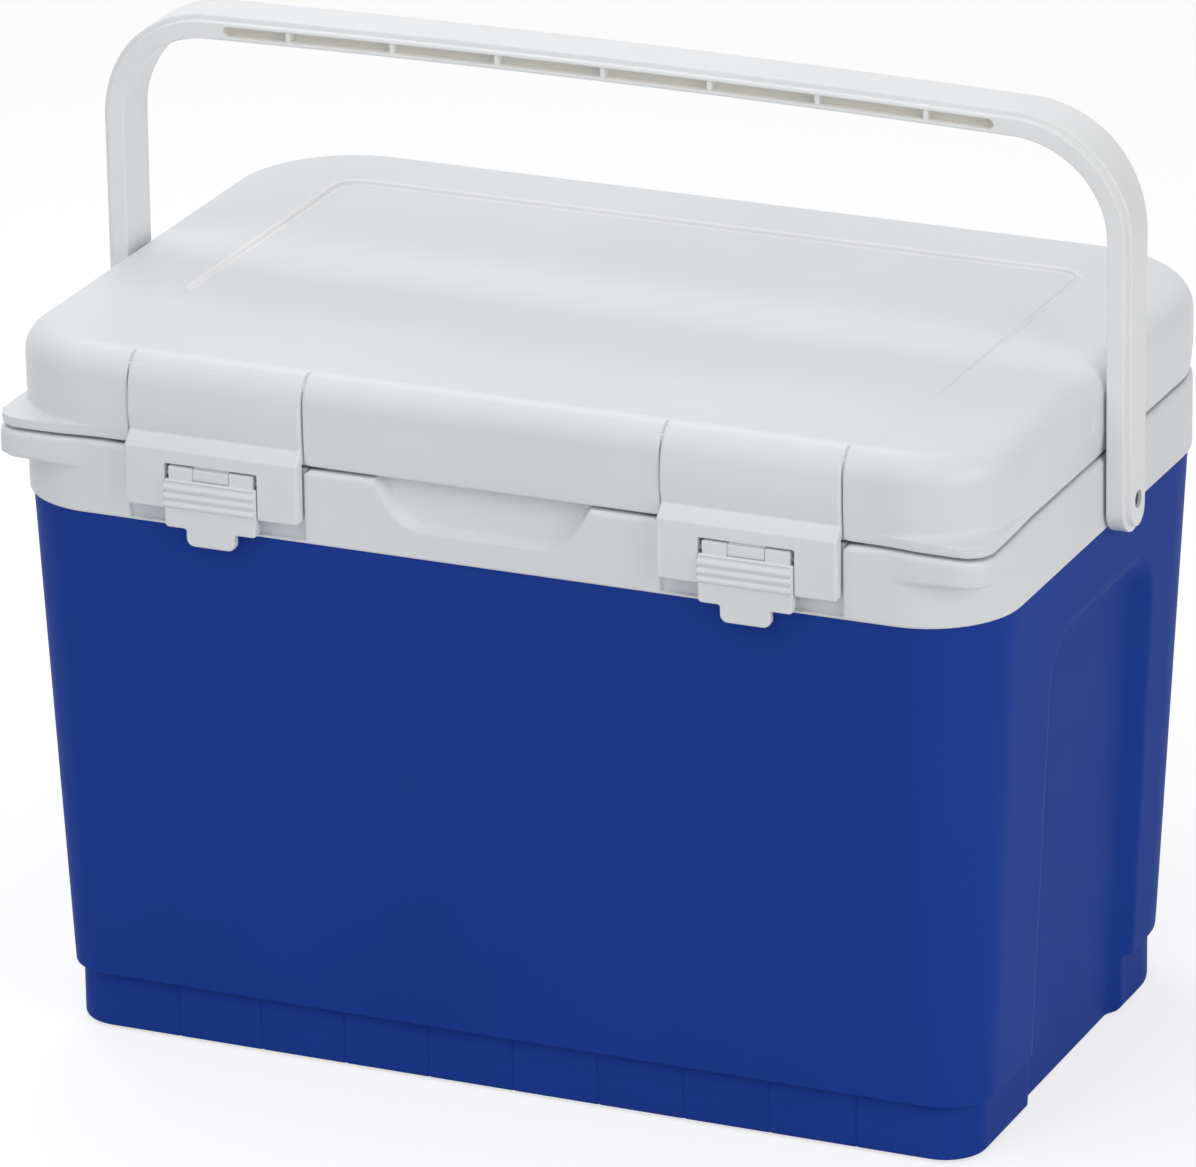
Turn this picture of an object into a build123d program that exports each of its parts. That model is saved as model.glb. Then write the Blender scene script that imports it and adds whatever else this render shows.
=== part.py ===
"""Vaccine carrier: an insulated box with a hinged lid, two pull-tab latches and a bail handle.

Frame: +Z up, X along the long side, the latches on the -Y side, the hinges on the +Y side.
The origin is on the floor, under the middle of the box. Lengths are in millimetres.
"""
from build123d import *
from math import cos, radians, sin
import os

os.makedirs("parts", exist_ok=True)

# ---------------------------------------------------------------- clearances
seat_gap = 0.3            # between pieces of one body that only lie against each other
running_gap = 0.08        # radial, between a pin and the piece that turns on it
swing_gap = 0.5           # between pieces that pass each other as they turn
seam_gap = 1.5            # visible seam between the lid and the collar

# ---------------------------------------------------------------- the box, as seen from above
box_length = 480.0
box_depth = 310.7
front_radius = 43.4       # upright corners at the front
back_radius = 61.3        # upright corners at the back
foot_length = 455.3       # the blue shell tapers to this above its base band
foot_depth = 269.3
foot_front_radius = 24.0
foot_back_radius = 47.6
band_inset = 3.7          # the base band stands back from the shell above it
collar_overhang = 1.8     # the collar stands out over the shell below it

# ---------------------------------------------------------------- heights above the floor
pad_projection = 1.2      # how far the foot pads lift the shell
band_height = 27.5
shell_height = 235.9      # from the base band up to the collar
collar_height = 34.9
lid_height = 42.3
band_top = pad_projection + band_height
collar_bottom = band_top + shell_height
collar_top = collar_bottom + collar_height
lid_bottom = collar_top + seam_gap
lid_top = lid_bottom + lid_height

# ---------------------------------------------------------------- walls
shell_wall = 4.5
shell_floor = 6.0
collar_wall = 5.0
collar_deck = 5.0         # thickness of the collar's top deck
tongue_wall = 2.2         # rim of the shell that stands up inside the collar
tongue_height = 4.5
liner_wall = 2.5
lid_wall = 3.0
lid_skin = 5.0            # top of the lid
band_chamfer = 2.0
collar_top_round = 2.5
collar_bottom_round = 1.2
lid_edge_radius = 13.5
lid_bottom_round = 1.2

# ---------------------------------------------------------------- storage compartment
liner_length = 412.0      # outside of the liner at its mouth
liner_depth = 243.0
liner_radius = 28.0
liner_taper = 8.0         # each side comes in this much from the mouth to the floor
liner_floor = 38.0        # underside of the liner
liner_flange = 8.0
liner_flange_thickness = 2.0
pack_width = 178.0        # ice packs, stood along the front and back walls
pack_height = 172.0
pack_thickness = 30.0
pack_round = 6.0
pack_cap_radius = 11.0
pack_cap_height = 9.0
pack_spacing = 183.0

# ---------------------------------------------------------------- end recesses of the shell
recess_depth = 7.4
recess_half_mouth = 66.0
recess_half_floor = 51.0
recess_drop = 30.6        # from the collar down to the top of the recess
recess_corner = 18.0

# ---------------------------------------------------------------- base
pad_radius = 9.0
pad_thickness = 4.0
pad_inset_x = 34.0
pad_inset_y = 34.0

# ---------------------------------------------------------------- corner ears of the collar and lid
ear_side = 1.0            # how far an ear stands out past the end of the box
ear_front = 2.0           # how far it stands out past the front
ear_radius = 12.0
ear_reach_x = 52.0
ear_reach_y = 57.0
ear_blend = 22.0
lid_ear_height = 5.5
collar_ear_height = 12.5
ear_edge_round = 1.5

# ---------------------------------------------------------------- scoop for the fingers, in the collar
scoop_half_top = 51.8
scoop_half_bottom = 38.0
scoop_drop = 20.7
scoop_depth = 9.0         # at the top
scoop_depth_bottom = 5.4
scoop_wall = 3.0

# ---------------------------------------------------------------- lid details
panel_half_x = 185.9
panel_half_y = 106.6
panel_radius = 12.0
panel_depth = 2.2         # at the back; the panel slopes up to nothing at the front
plug_gap = 4.0            # between the lid's plug and the liner's mouth
plug_drop = 8.0
gasket_gap = 2.6          # between the gasket and the strap housings
gasket_width = 5.0
gasket_height = 3.1
nub_radius = 5.5
nub_height = 1.1
nub_round = 1.0
nub_y = 22.0
nub_rise = 18.0           # above the lid's bottom edge

# ---------------------------------------------------------------- back hinges
hinge_spacing = 260.0
hinge_length = 84.0
hinge_middle = 42.0       # length of the lid's knuckle
hinge_radius = 6.5
hinge_pin_radius = 2.2
hinge_out = 2.0           # axis this far behind the back face

# ---------------------------------------------------------------- latches
latch_spacing = 259.2     # between the middles of the two latches
strap_width = 85.3
strap_thickness = 4.5
strap_overlap = 25.0      # how far the strap reaches down over the collar
strap_step_rise = 6.1     # top of the strap's forward step, above the lid's bottom edge
strap_step_height = 3.8
strap_step_out = 6.05
strap_block = 7.5         # thickness of the strap's lower part
barrel_radius = 6.0
barrel_angle = 50.0       # where the barrel touches the lid's round edge, from the vertical
latch_pin_radius = 2.0
latch_pin_grip = 6.0
latch_side_gap = 0.6
housing_depth = 17.4      # the lid is solid this deep around a strap
housing_side = 8.0
collar_pocket = 2.5
collar_pocket_rise = 1.4  # above the collar's bottom edge
window_width = 45.8
window_height = 21.8
lever_pin_radius = 1.2
lever_pin_drop = 5.1      # below the top of the window
lever_pin_grip = 4.0
lever_pin_back = 3.5      # axis this far behind the strap's front
lever_barrel_radius = 3.2
lever_width = 45.0
lever_knuckle_half = 20.0
centre_knuckle_half = 8.6
lever_drop = 8.0          # below the strap's bottom edge
lever_plate_height = 20.8
lever_out = 2.45          # front of the ridges, in front of the strap
lever_thickness = 4.0
ridge_count = 3
ridge_pitch = 4.0
ridge_height = 1.2
ridge_crest_top = 1.2     # each ridge's crest, measured down from the ridge's top
ridge_crest_bottom = 2.4
ridge_foot = 3.6
tab_width = 24.0
tab_drop = 8.0
tab_thickness = 3.0
tab_round = 5.0
lip_width = 30.0
keeper_height = 4.5
keeper_width = 40.0

# ---------------------------------------------------------------- carrying handle
pivot_rise = 13.9         # above the collar's bottom edge
handle_gap = 1.5          # between a leg and the end of the box
handle_thickness = 11.2
handle_band = 8.6         # thickness of the wide inner part, the rest is the raised outer rib
rib_inset = 3.0           # the outer rib is narrower than the band by this on each edge
handle_reach = 181.9      # from the pivot to the top of the grip
grip_crown = 2.4
grip_half_width = 15.5
leg_half_width = 12.0
leg_shoulder_half = 13.2
leg_shoulder_drop = 45.4  # below the top of the grip
grip_shoulder_drop = 15.4
bend_radius = 45.0        # inside of the bend
leg_end_drop = 3.5
grip_slot_half = 188.5
grip_slot_height = 4.6
grip_slot_depth = 23.0
grip_slot_flat = 0.3      # short flat between the rounds at each end
grip_rib_pitch = 52.0
grip_rib_width = 2.4
grip_rib_back = 0.6
handle_edge_chamfer = 0.8
pivot_pin_radius = 4.0
pivot_pin_recess = 1.6
pivot_boss_radius = 8.0
pivot_boss_length = 14.0
pivot_boss_floor = 1.0    # left behind the pin

# ---------------------------------------------------------------- sizes that follow from the ones above
half_length = box_length / 2
half_depth = box_depth / 2
front_face = -half_depth
box_plan = (box_length, box_depth, front_radius, back_radius)
foot_plan = (foot_length, foot_depth, foot_front_radius, foot_back_radius)
shell_top_plan = tuple(
    size - collar_overhang * share for size, share in zip(box_plan, (2, 2, 1, 1))
)
deck_bottom = collar_top - collar_deck
recess_top = collar_bottom - recess_drop
plug_inset = liner_wall + plug_gap
gasket_inset = housing_depth + gasket_gap
nub_z = lid_bottom + nub_rise
hinge_y = half_depth + hinge_out
hinge_z = (collar_top + lid_bottom) / 2
edge_centre_y = front_face + lid_edge_radius
edge_centre_z = lid_top - lid_edge_radius
barrel_offset = lid_edge_radius - barrel_radius
barrel_y = edge_centre_y - barrel_offset * sin(radians(barrel_angle))
barrel_z = edge_centre_z + barrel_offset * cos(radians(barrel_angle))
strap_bottom = collar_top - strap_overlap
strap_step_top = lid_bottom + strap_step_rise
strap_step_bottom = strap_step_top - strap_step_height
collar_pocket_bottom = collar_bottom + collar_pocket_rise
window_top = strap_bottom + window_height
lever_pin_height = window_top - lever_pin_drop
lever_bottom = strap_bottom - lever_drop
lever_plate_top = lever_bottom + lever_plate_height
pivot_height = collar_bottom + pivot_rise
grip_top = pivot_height + handle_reach
leg_shoulder = grip_top - leg_shoulder_drop
grip_shoulder = grip_top - grip_shoulder_drop
strap_front = front_face - strap_step_out
strap_back = strap_front + strap_block
lever_pin_y = strap_front + lever_pin_back
lever_front = strap_front - lever_out
lever_back = lever_front + ridge_height + lever_thickness
leg_inside = half_length + handle_gap
leg_outside = leg_inside + handle_thickness
bend_top = grip_top - handle_thickness - grip_crown
bend_x = leg_inside - bend_radius
bend_z = bend_top - bend_radius


# ---------------------------------------------------------------- helpers
def inset(plan, distance):
    """A box outline moved inwards by a distance on every side."""
    length, depth, front, back = plan
    return (length - 2 * distance, depth - 2 * distance, front - distance, back - distance)


def shell_plan(level):
    """Outline of the tapered shell at a height."""
    share = (level - band_top) / (collar_bottom - band_top)
    return tuple(low + (high - low) * share for low, high in zip(foot_plan, shell_top_plan))


def outline(plan, level):
    """Flat face with the outline of the box at a height."""
    length, depth, front, back = plan
    face = Rectangle(length, depth)
    face = fillet(face.vertices().group_by(Axis.Y)[0], front)
    face = fillet(face.vertices().group_by(Axis.Y)[-1], back)
    return Pos(0, 0, level) * face


def slab(plan, low, high):
    """Straight-sided block with the outline of the box."""
    return extrude(outline(plan, low), amount=high - low, dir=(0, 0, 1))


def tapered(low_plan, low, high_plan, high):
    """Block that changes from one outline to another."""
    return loft([outline(low_plan, low), outline(high_plan, high)], ruled=True)


def block(x_range, y_range, z_range):
    """Box between two corners."""
    size = [high - low for low, high in (x_range, y_range, z_range)]
    middle = [(high + low) / 2 for low, high in (x_range, y_range, z_range)]
    return Pos(*middle) * Box(*size)


def x_rod(radius, x_low, x_high, y, z):
    """Round bar along X."""
    middle = Pos((x_low + x_high) / 2, y, z)
    return middle * Rot(0, 90, 0) * Cylinder(radius, x_high - x_low)


def side_prism(points, x_low, x_high):
    """Profile given as (y, z) points, drawn out along X."""
    face = make_face(Polyline([(0, y, z) for y, z in points], close=True))
    return Pos(x_low, 0, 0) * extrude(face, amount=x_high - x_low, dir=(1, 0, 0))


def save(shape, name):
    """Write one node, as its separate solids."""
    solids = shape.solids()
    whole = solids[0] if len(solids) == 1 else Compound(children=list(solids))
    export_step(whole, f"parts/{name}.step")


# ---------------------------------------------------------------- blue outer shell
def end_recess(side, grow):
    """Shallow panel pressed into one end of the shell; grow widens and deepens it."""
    slope_x = (shell_top_plan[0] - foot_length) / 2 / (collar_bottom - band_top)
    normal = Vector(side, 0, -slope_x)
    face_x = side * (foot_length / 2 - slope_x * band_top)
    low = -recess_top

    def level_face(distance, half_width, top):
        plane = Plane(origin=(face_x, 0, 0), x_dir=(0, side, 0), z_dir=normal)
        face = RectangleRounded(2 * half_width, top - low, recess_corner + grow)
        return plane.offset(distance) * Pos(0, (top + low) / 2) * face

    spread = recess_half_mouth - recess_half_floor
    floor = level_face(-recess_depth - grow, recess_half_floor + grow, recess_top - spread + grow)
    mouth = level_face(recess_depth, recess_half_mouth + spread + grow, recess_top + spread + grow)
    return loft([floor, mouth], ruled=True)


def foot_places():
    """Middles of the four foot pads."""
    for side_x in (-1, 1):
        for side_y in (-1, 1):
            yield side_x * (foot_length / 2 - pad_inset_x), side_y * (foot_depth / 2 - pad_inset_y)


def make_outer_shell():
    band_plan = inset(foot_plan, band_inset)
    band = slab(band_plan, pad_projection, band_top)
    band = chamfer(band.edges().group_by(Axis.Z)[0], band_chamfer)
    shell = band + tapered(foot_plan, band_top, shell_top_plan, collar_bottom)
    tongue_plan = inset(box_plan, collar_wall + seat_gap)
    shell += slab(tongue_plan, collar_bottom - tongue_height, collar_bottom + tongue_height)
    cavity = shell_cavity(0)
    tongue_inside = inset(tongue_plan, tongue_wall)
    cavity += slab(tongue_inside, collar_bottom - tongue_height, collar_bottom + 2 * tongue_height)
    for side in (-1, 1):
        cavity -= end_recess(side, shell_wall)
        shell -= end_recess(side, 0)
    shell -= cavity
    for x, y in foot_places():
        shell -= Pos(x, y, pad_thickness / 2) * Cylinder(pad_radius + seat_gap, pad_thickness)
    return shell


def shell_cavity(gap):
    """Space inside the shell below the collar, less a gap on every side."""
    low = pad_projection + shell_floor
    low_plan = inset(shell_plan(low), shell_wall + band_inset + gap)
    high_plan = inset(shell_top_plan, shell_wall + gap)
    return tapered(low_plan, low, high_plan, collar_bottom)


def make_foot_pads():
    pads = [Pos(x, y, pad_thickness / 2) * Cylinder(pad_radius, pad_thickness) for x, y in foot_places()]
    return Compound(children=pads)


# ---------------------------------------------------------------- insulation and liner
def liner_plans(grow):
    """Outlines of the liner's outside at its floor and at its mouth."""
    mouth = (liner_length + 2 * grow, liner_depth + 2 * grow, liner_radius + grow, liner_radius + grow)
    return inset(mouth, liner_taper), mouth


def make_shell_foam():
    foam = shell_cavity(seat_gap)
    tongue_inside = inset(box_plan, collar_wall + seat_gap + tongue_wall + seat_gap)
    foam += slab(tongue_inside, collar_bottom - tongue_height, deck_bottom - seat_gap)
    floor_plan, mouth_plan = liner_plans(seat_gap)
    foam -= tapered(floor_plan, liner_floor, mouth_plan, collar_top)
    for side in (-1, 1):
        foam -= end_recess(side, shell_wall + seat_gap)
        foam -= pivot_boss(side, seat_gap)
    foam -= scoop_housing(seat_gap)
    return foam


def make_inner_liner():
    floor_plan, mouth_plan = liner_plans(0)
    liner = tapered(floor_plan, liner_floor, mouth_plan, collar_top)
    flange_plan = inset(mouth_plan, -liner_flange)
    liner += slab(flange_plan, collar_top - liner_flange_thickness, collar_top)
    inner_floor = inset(floor_plan, liner_wall)
    inner_mouth = inset(mouth_plan, liner_wall)
    liner -= tapered(inner_floor, liner_floor + liner_wall, inner_mouth, collar_top)
    return liner


def pack_places():
    """Middles of the four ice packs' feet."""
    wall = liner_depth / 2 - liner_taper - liner_wall
    for side_x in (-1, 1):
        for side_y in (-1, 1):
            yield side_x * pack_spacing / 2, side_y * (wall - seat_gap - pack_thickness / 2)


def make_ice_packs():
    packs = []
    low = liner_floor + liner_wall
    for x, y in pack_places():
        pack = Box(pack_width, pack_thickness, pack_height)
        pack = fillet(pack.edges().filter_by(Axis.Z), pack_round)
        packs.append(Pos(x, y, low + pack_height / 2) * pack)
    return Compound(children=packs)


def make_ice_pack_caps():
    low = liner_floor + liner_wall + pack_height
    caps = []
    for x, y in pack_places():
        caps.append(Pos(x, y, low + pack_cap_height / 2) * Cylinder(pack_cap_radius, pack_cap_height))
    return Compound(children=caps)


# ---------------------------------------------------------------- shared by the collar and the lid
def corner_ear(side, low, high):
    """Nearly square front corner that stands out past the rounded corner of the box."""
    tip_x = half_length + ear_side
    tip_y = front_face - ear_front
    start_x = half_length - ear_reach_x
    end_y = front_face + ear_reach_y
    points = [
        (start_x, front_face + ear_radius),
        (start_x, front_face),
        (start_x + ear_blend, tip_y),
        (tip_x, tip_y),
        (tip_x, end_y - ear_blend),
        (half_length, end_y),
        (half_length - ear_radius, end_y),
    ]
    face = make_face(Polyline([(side * x, y) for x, y in points], close=True))
    tip = face.vertices().sort_by_distance((side * tip_x, tip_y, 0))[0]
    face = fillet(tip, ear_radius)
    ear = Pos(0, 0, low) * extrude(face, amount=high - low, dir=(0, 0, 1))
    rims = ear.edges().group_by(Axis.Z)
    return fillet(rims[0] + rims[-1], ear_edge_round)


def hinge_middles():
    """Middles of the two back hinges along X."""
    return (-hinge_spacing / 2, hinge_spacing / 2)


def collar_knuckles(x, grow):
    """The two outer knuckles of one hinge, which belong to the collar."""
    outer = hinge_length / 2 + grow
    inner = hinge_middle / 2 + swing_gap - grow
    radius = hinge_radius + grow
    left = x_rod(radius, x - outer, x - inner, hinge_y, hinge_z)
    right = x_rod(radius, x + inner, x + outer, hinge_y, hinge_z)
    return left + right


def lid_knuckle(x, grow):
    """The middle knuckle of one hinge, which belongs to the lid."""
    reach = hinge_middle / 2 + grow
    return x_rod(hinge_radius + grow, x - reach, x + reach, hinge_y, hinge_z)


def latch_middles():
    """Middles of the two latches along X."""
    return (-latch_spacing / 2, latch_spacing / 2)


# ---------------------------------------------------------------- collar
def pivot_boss(side, grow):
    """Boss inside the collar that holds one handle pin."""
    inner = half_length - pivot_boss_length - grow
    low, high = sorted((side * inner, side * (half_length - collar_wall / 2)))
    return x_rod(pivot_boss_radius + grow, low, high, 0, pivot_height)


def scoop_housing(grow):
    """Thicker wall behind the finger scoop."""
    half_width = scoop_half_top + scoop_wall + grow
    back = front_face + scoop_depth + scoop_wall + grow
    y_range = (front_face + collar_wall / 2, back)
    z_range = (collar_top - scoop_drop - scoop_wall - grow, collar_top - collar_deck / 2)
    return block((-half_width, half_width), y_range, z_range)


def finger_scoop():
    """Hollow under the lid's front edge, deeper at the top than at the bottom."""
    low = collar_top - scoop_drop
    points = [
        (-scoop_half_top, collar_top + seam_gap),
        (-scoop_half_top, collar_top),
        (-scoop_half_bottom, low),
        (scoop_half_bottom, low),
        (scoop_half_top, collar_top),
        (scoop_half_top, collar_top + seam_gap),
    ]
    face = make_face(Polyline([(x, front_face - ear_front, z) for x, z in points], close=True))
    front_view = extrude(face, amount=scoop_depth + ear_front, dir=(0, 1, 0))
    slope = side_prism(
        [
            (front_face - ear_front, low),
            (front_face + scoop_depth_bottom, low),
            (front_face + scoop_depth, collar_top + seam_gap),
            (front_face - ear_front, collar_top + seam_gap),
        ],
        -scoop_half_top,
        scoop_half_top,
    )
    return front_view & slope


def make_rim_collar():
    collar = slab(box_plan, collar_bottom, collar_top)
    collar = fillet(collar.edges().group_by(Axis.Z)[-1], collar_top_round)
    collar = fillet(collar.edges().group_by(Axis.Z)[0], collar_bottom_round)
    for side in (-1, 1):
        collar += corner_ear(side, collar_top - collar_ear_height, collar_top)
    for x in hinge_middles():
        collar += collar_knuckles(x, 0)
    under = slab(inset(box_plan, collar_wall), collar_bottom, deck_bottom)
    under -= scoop_housing(0)
    for side in (-1, 1):
        under -= pivot_boss(side, 0)
    collar -= under
    floor_plan, mouth_plan = liner_plans(seat_gap)
    collar -= tapered(floor_plan, liner_floor, mouth_plan, collar_top)
    rebate = inset(mouth_plan, -liner_flange)
    collar -= slab(rebate, collar_top - liner_flange_thickness, collar_top)
    collar -= finger_scoop()
    for x in latch_middles():
        half_pocket = strap_width / 2 + latch_side_gap
        pocket_y = (front_face - ear_front, front_face + collar_pocket)
        pocket = block((x - half_pocket, x + half_pocket), pocket_y, (collar_pocket_bottom, collar_top))
        keeper_x = (x - keeper_width / 2, x + keeper_width / 2)
        keeper_z = (collar_pocket_bottom, collar_pocket_bottom + keeper_height)
        collar -= pocket - block(keeper_x, (front_face, front_face + collar_pocket), keeper_z)
    for x in hinge_middles():
        collar -= lid_knuckle(x, swing_gap)
        collar -= hinge_pin(x, 0)
    for side in (-1, 1):
        collar -= handle_pin(side, 0)
    return collar


# ---------------------------------------------------------------- pins
def hinge_pin(x, grow):
    """Pin through the three knuckles of one hinge."""
    reach = hinge_length / 2
    return x_rod(hinge_pin_radius + grow, x - reach, x + reach, hinge_y, hinge_z)


def handle_pin(side, grow):
    """Pin from the collar's boss into one leg of the handle."""
    inner = half_length - pivot_boss_length + pivot_boss_floor
    outer = leg_outside - pivot_pin_recess
    low, high = sorted((side * inner, side * outer))
    return x_rod(pivot_pin_radius + grow, low, high, 0, pivot_height)


def latch_pin(x, grow):
    """Pin that hangs one strap in the lid."""
    reach = strap_width / 2 + latch_side_gap + latch_pin_grip
    return x_rod(latch_pin_radius + grow, x - reach, x + reach, barrel_y, barrel_z)


def lever_pin(x, grow):
    """Pin that hangs one lever in its strap."""
    reach = window_width / 2 + lever_pin_grip
    return x_rod(lever_pin_radius + grow, x - reach, x + reach, lever_pin_y, lever_pin_height)


# ---------------------------------------------------------------- lid
def strap_housing(x, grow):
    """Solid part of the lid around one strap."""
    half_width = strap_width / 2 + latch_side_gap + housing_side + grow
    y_range = (front_face - ear_front, front_face + housing_depth + grow)
    return block((x - half_width, x + half_width), y_range, (lid_bottom - seam_gap, lid_top - lid_skin / 2))


def strap_pocket(x):
    """Room in the lid for one strap."""
    half_pocket = strap_width / 2 + latch_side_gap
    x_low, x_high = x - half_pocket, x + half_pocket
    floor = front_face + strap_thickness + swing_gap
    pocket = block((x_low, x_high), (front_face - ear_front, floor), (lid_bottom - seam_gap, barrel_z))
    pocket += x_rod(barrel_radius + swing_gap, x_low, x_high, barrel_y, barrel_z)
    mouth_z = (barrel_z - barrel_radius, barrel_z + barrel_radius / 2)
    return pocket + block((x_low, x_high), (front_face - ear_front, barrel_y), mouth_z)


def top_panel():
    """Shallow sloping panel pressed into the top of the lid."""
    face = RectangleRounded(2 * panel_half_x, 2 * panel_half_y, panel_radius)
    prism = Pos(0, 0, lid_top - panel_depth) * extrude(face, amount=2 * panel_depth, dir=(0, 0, 1))
    above = lid_top + panel_depth
    wedge = side_prism(
        [
            (-panel_half_y, lid_top),
            (panel_half_y, lid_top - panel_depth),
            (panel_half_y, above),
            (-panel_half_y, above),
        ],
        -panel_half_x,
        panel_half_x,
    )
    return prism & wedge


def handle_nub(side, y):
    """Low button on the end of the lid that a leg of the handle passes over."""
    low, high = sorted((side * (half_length - lid_wall / 2), side * (half_length + nub_height)))
    nub = x_rod(nub_radius, low, high, y, nub_z)
    return fillet(nub.edges().filter_by(GeomType.CIRCLE).sort_by(Axis.X)[side // 2], nub_round)


def lid_cavity(gap):
    """Space inside the lid, less a gap on every side."""
    plan = inset(box_plan, lid_wall + gap)
    return slab(plan, lid_bottom - seam_gap, lid_top - lid_skin - gap)


def make_lid_shell():
    lid = slab(box_plan, lid_bottom, lid_top)
    lid = fillet(lid.edges().group_by(Axis.Z)[-1], lid_edge_radius)
    lid = fillet(lid.edges().group_by(Axis.Z)[0], lid_bottom_round)
    for side in (-1, 1):
        lid += corner_ear(side, lid_bottom, lid_bottom + lid_ear_height)
        for y in (-nub_y, nub_y):
            lid += handle_nub(side, y)
    for x in hinge_middles():
        lid += lid_knuckle(x, 0)
    cavity = lid_cavity(0)
    for x in latch_middles():
        cavity -= strap_housing(x, 0)
    lid -= cavity
    lid -= top_panel()
    for x in latch_middles():
        lid -= strap_pocket(x)
        lid -= latch_pin(x, 0)
    for x in hinge_middles():
        lid -= collar_knuckles(x, swing_gap)
        lid -= hinge_pin(x, running_gap)
    return lid


def lid_plug(shrink, low):
    """Block that fills the mouth of the liner, from a height up to the lid."""
    mouth_plan = liner_plans(0)[1]
    return slab(inset(mouth_plan, plug_inset + shrink), low, lid_bottom + liner_wall + seat_gap)


def gasket_ring(grow, low, high):
    """Ring that runs round the underside of the lid."""
    outer = inset(box_plan, gasket_inset - grow)
    inner = inset(box_plan, gasket_inset + gasket_width + grow)
    return slab(outer, low, high) - slab(inner, low, high)


def make_lid_liner():
    liner = slab(inset(box_plan, lid_wall + seat_gap), lid_bottom, lid_bottom + liner_wall)
    liner += lid_plug(0, collar_top - plug_drop)
    liner &= slab(box_plan, collar_top - plug_drop, lid_bottom + liner_wall)
    liner -= lid_plug(liner_wall, collar_top - plug_drop + liner_wall)
    for x in latch_middles():
        liner -= strap_housing(x, seat_gap)
    for x in hinge_middles():
        liner -= collar_knuckles(x, swing_gap)
    return liner - gasket_ring(0, lid_bottom, collar_top + seat_gap + gasket_height)


def make_lid_gasket():
    low = collar_top + seat_gap
    return gasket_ring(0, low, low + gasket_height)


def make_lid_foam():
    foam = lid_cavity(seat_gap) & slab(box_plan, lid_bottom + liner_wall + seat_gap, lid_top)
    for x in latch_middles():
        foam -= strap_housing(x, seat_gap)
    for x in hinge_middles():
        foam -= collar_knuckles(x, swing_gap)
    return foam + lid_plug(liner_wall + seat_gap, collar_top - plug_drop + liner_wall + seat_gap)


# ---------------------------------------------------------------- latches
def make_latch_strap(x):
    x_low, x_high = x - strap_width / 2, x + strap_width / 2
    back = front_face + strap_thickness
    strap = x_rod(barrel_radius, x_low, x_high, barrel_y, barrel_z)
    curve = x_rod(lid_edge_radius, x_low, x_high, edge_centre_y, edge_centre_z)
    curve -= x_rod(lid_edge_radius - strap_thickness, x_low, x_high, edge_centre_y, edge_centre_z)
    far = 2 * lid_edge_radius
    far_y = edge_centre_y - far * sin(radians(barrel_angle))
    far_z = edge_centre_z + far * cos(radians(barrel_angle))
    corners = [(edge_centre_y, edge_centre_z), (far_y, far_z), (edge_centre_y - far, edge_centre_z)]
    strap += curve & side_prism(corners, x_low, x_high)
    strap += side_prism(
        [
            (front_face, edge_centre_z),
            (front_face, strap_step_top),
            (strap_front, strap_step_bottom),
            (strap_front, strap_bottom),
            (strap_back, strap_bottom),
            (strap_back, strap_step_bottom - strap_thickness / 2),
            (back, strap_step_top - strap_thickness / 2),
            (back, edge_centre_z),
        ],
        x_low,
        x_high,
    )
    half_window = window_width / 2
    window_y = (strap_front - lever_out, strap_back + lever_out)
    strap -= block((x - half_window, x + half_window), window_y, (strap_bottom - tab_drop, window_top))
    knuckle_x = (x - centre_knuckle_half, x + centre_knuckle_half)
    strap += x_rod(lever_barrel_radius, *knuckle_x, lever_pin_y, lever_pin_height)
    web_y = (lever_pin_y - lever_barrel_radius, lever_pin_y + lever_barrel_radius)
    strap += block(knuckle_x, web_y, (lever_pin_height, window_top + strap_thickness / 2))
    strap -= latch_pin(x, running_gap)
    return strap - lever_pin(x, 0)


def make_latch_lever(x):
    base_front = lever_front + ridge_height
    half_width = lever_width / 2
    plate_x = (x - half_width, x + half_width)
    lever = block(plate_x, (base_front, lever_back), (lever_bottom, lever_plate_top))
    for number in range(ridge_count):
        top = lever_plate_top - number * ridge_pitch
        lever += side_prism(
            [
                (base_front, top),
                (lever_front, top - ridge_crest_top),
                (lever_front, top - ridge_crest_bottom),
                (base_front, top - ridge_foot),
            ],
            *plate_x,
        )
    tab = block(
        (x - tab_width / 2, x + tab_width / 2),
        (base_front, base_front + tab_thickness),
        (lever_bottom - tab_drop, lever_bottom + tab_drop),
    )
    tab = fillet(tab.edges().filter_by(Axis.Y).group_by(Axis.Z)[0], tab_round)
    lever += tab
    lip_x = (x - lip_width / 2, x + lip_width / 2)
    lip_y = (lever_back, front_face - swing_gap)
    lever += block(lip_x, lip_y, (lever_bottom, lever_bottom + keeper_height))
    for side in (-1, 1):
        ends = (x + side * (centre_knuckle_half + seat_gap), x + side * lever_knuckle_half)
        low, high = min(ends), max(ends)
        lever += x_rod(lever_barrel_radius, low, high, lever_pin_y, lever_pin_height)
        web_y = (lever_pin_y - lever_barrel_radius, lever_back)
        lever += block((low, high), web_y, (lever_plate_top - ridge_pitch, lever_pin_height))
    return lever - lever_pin(x, running_gap)


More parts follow.
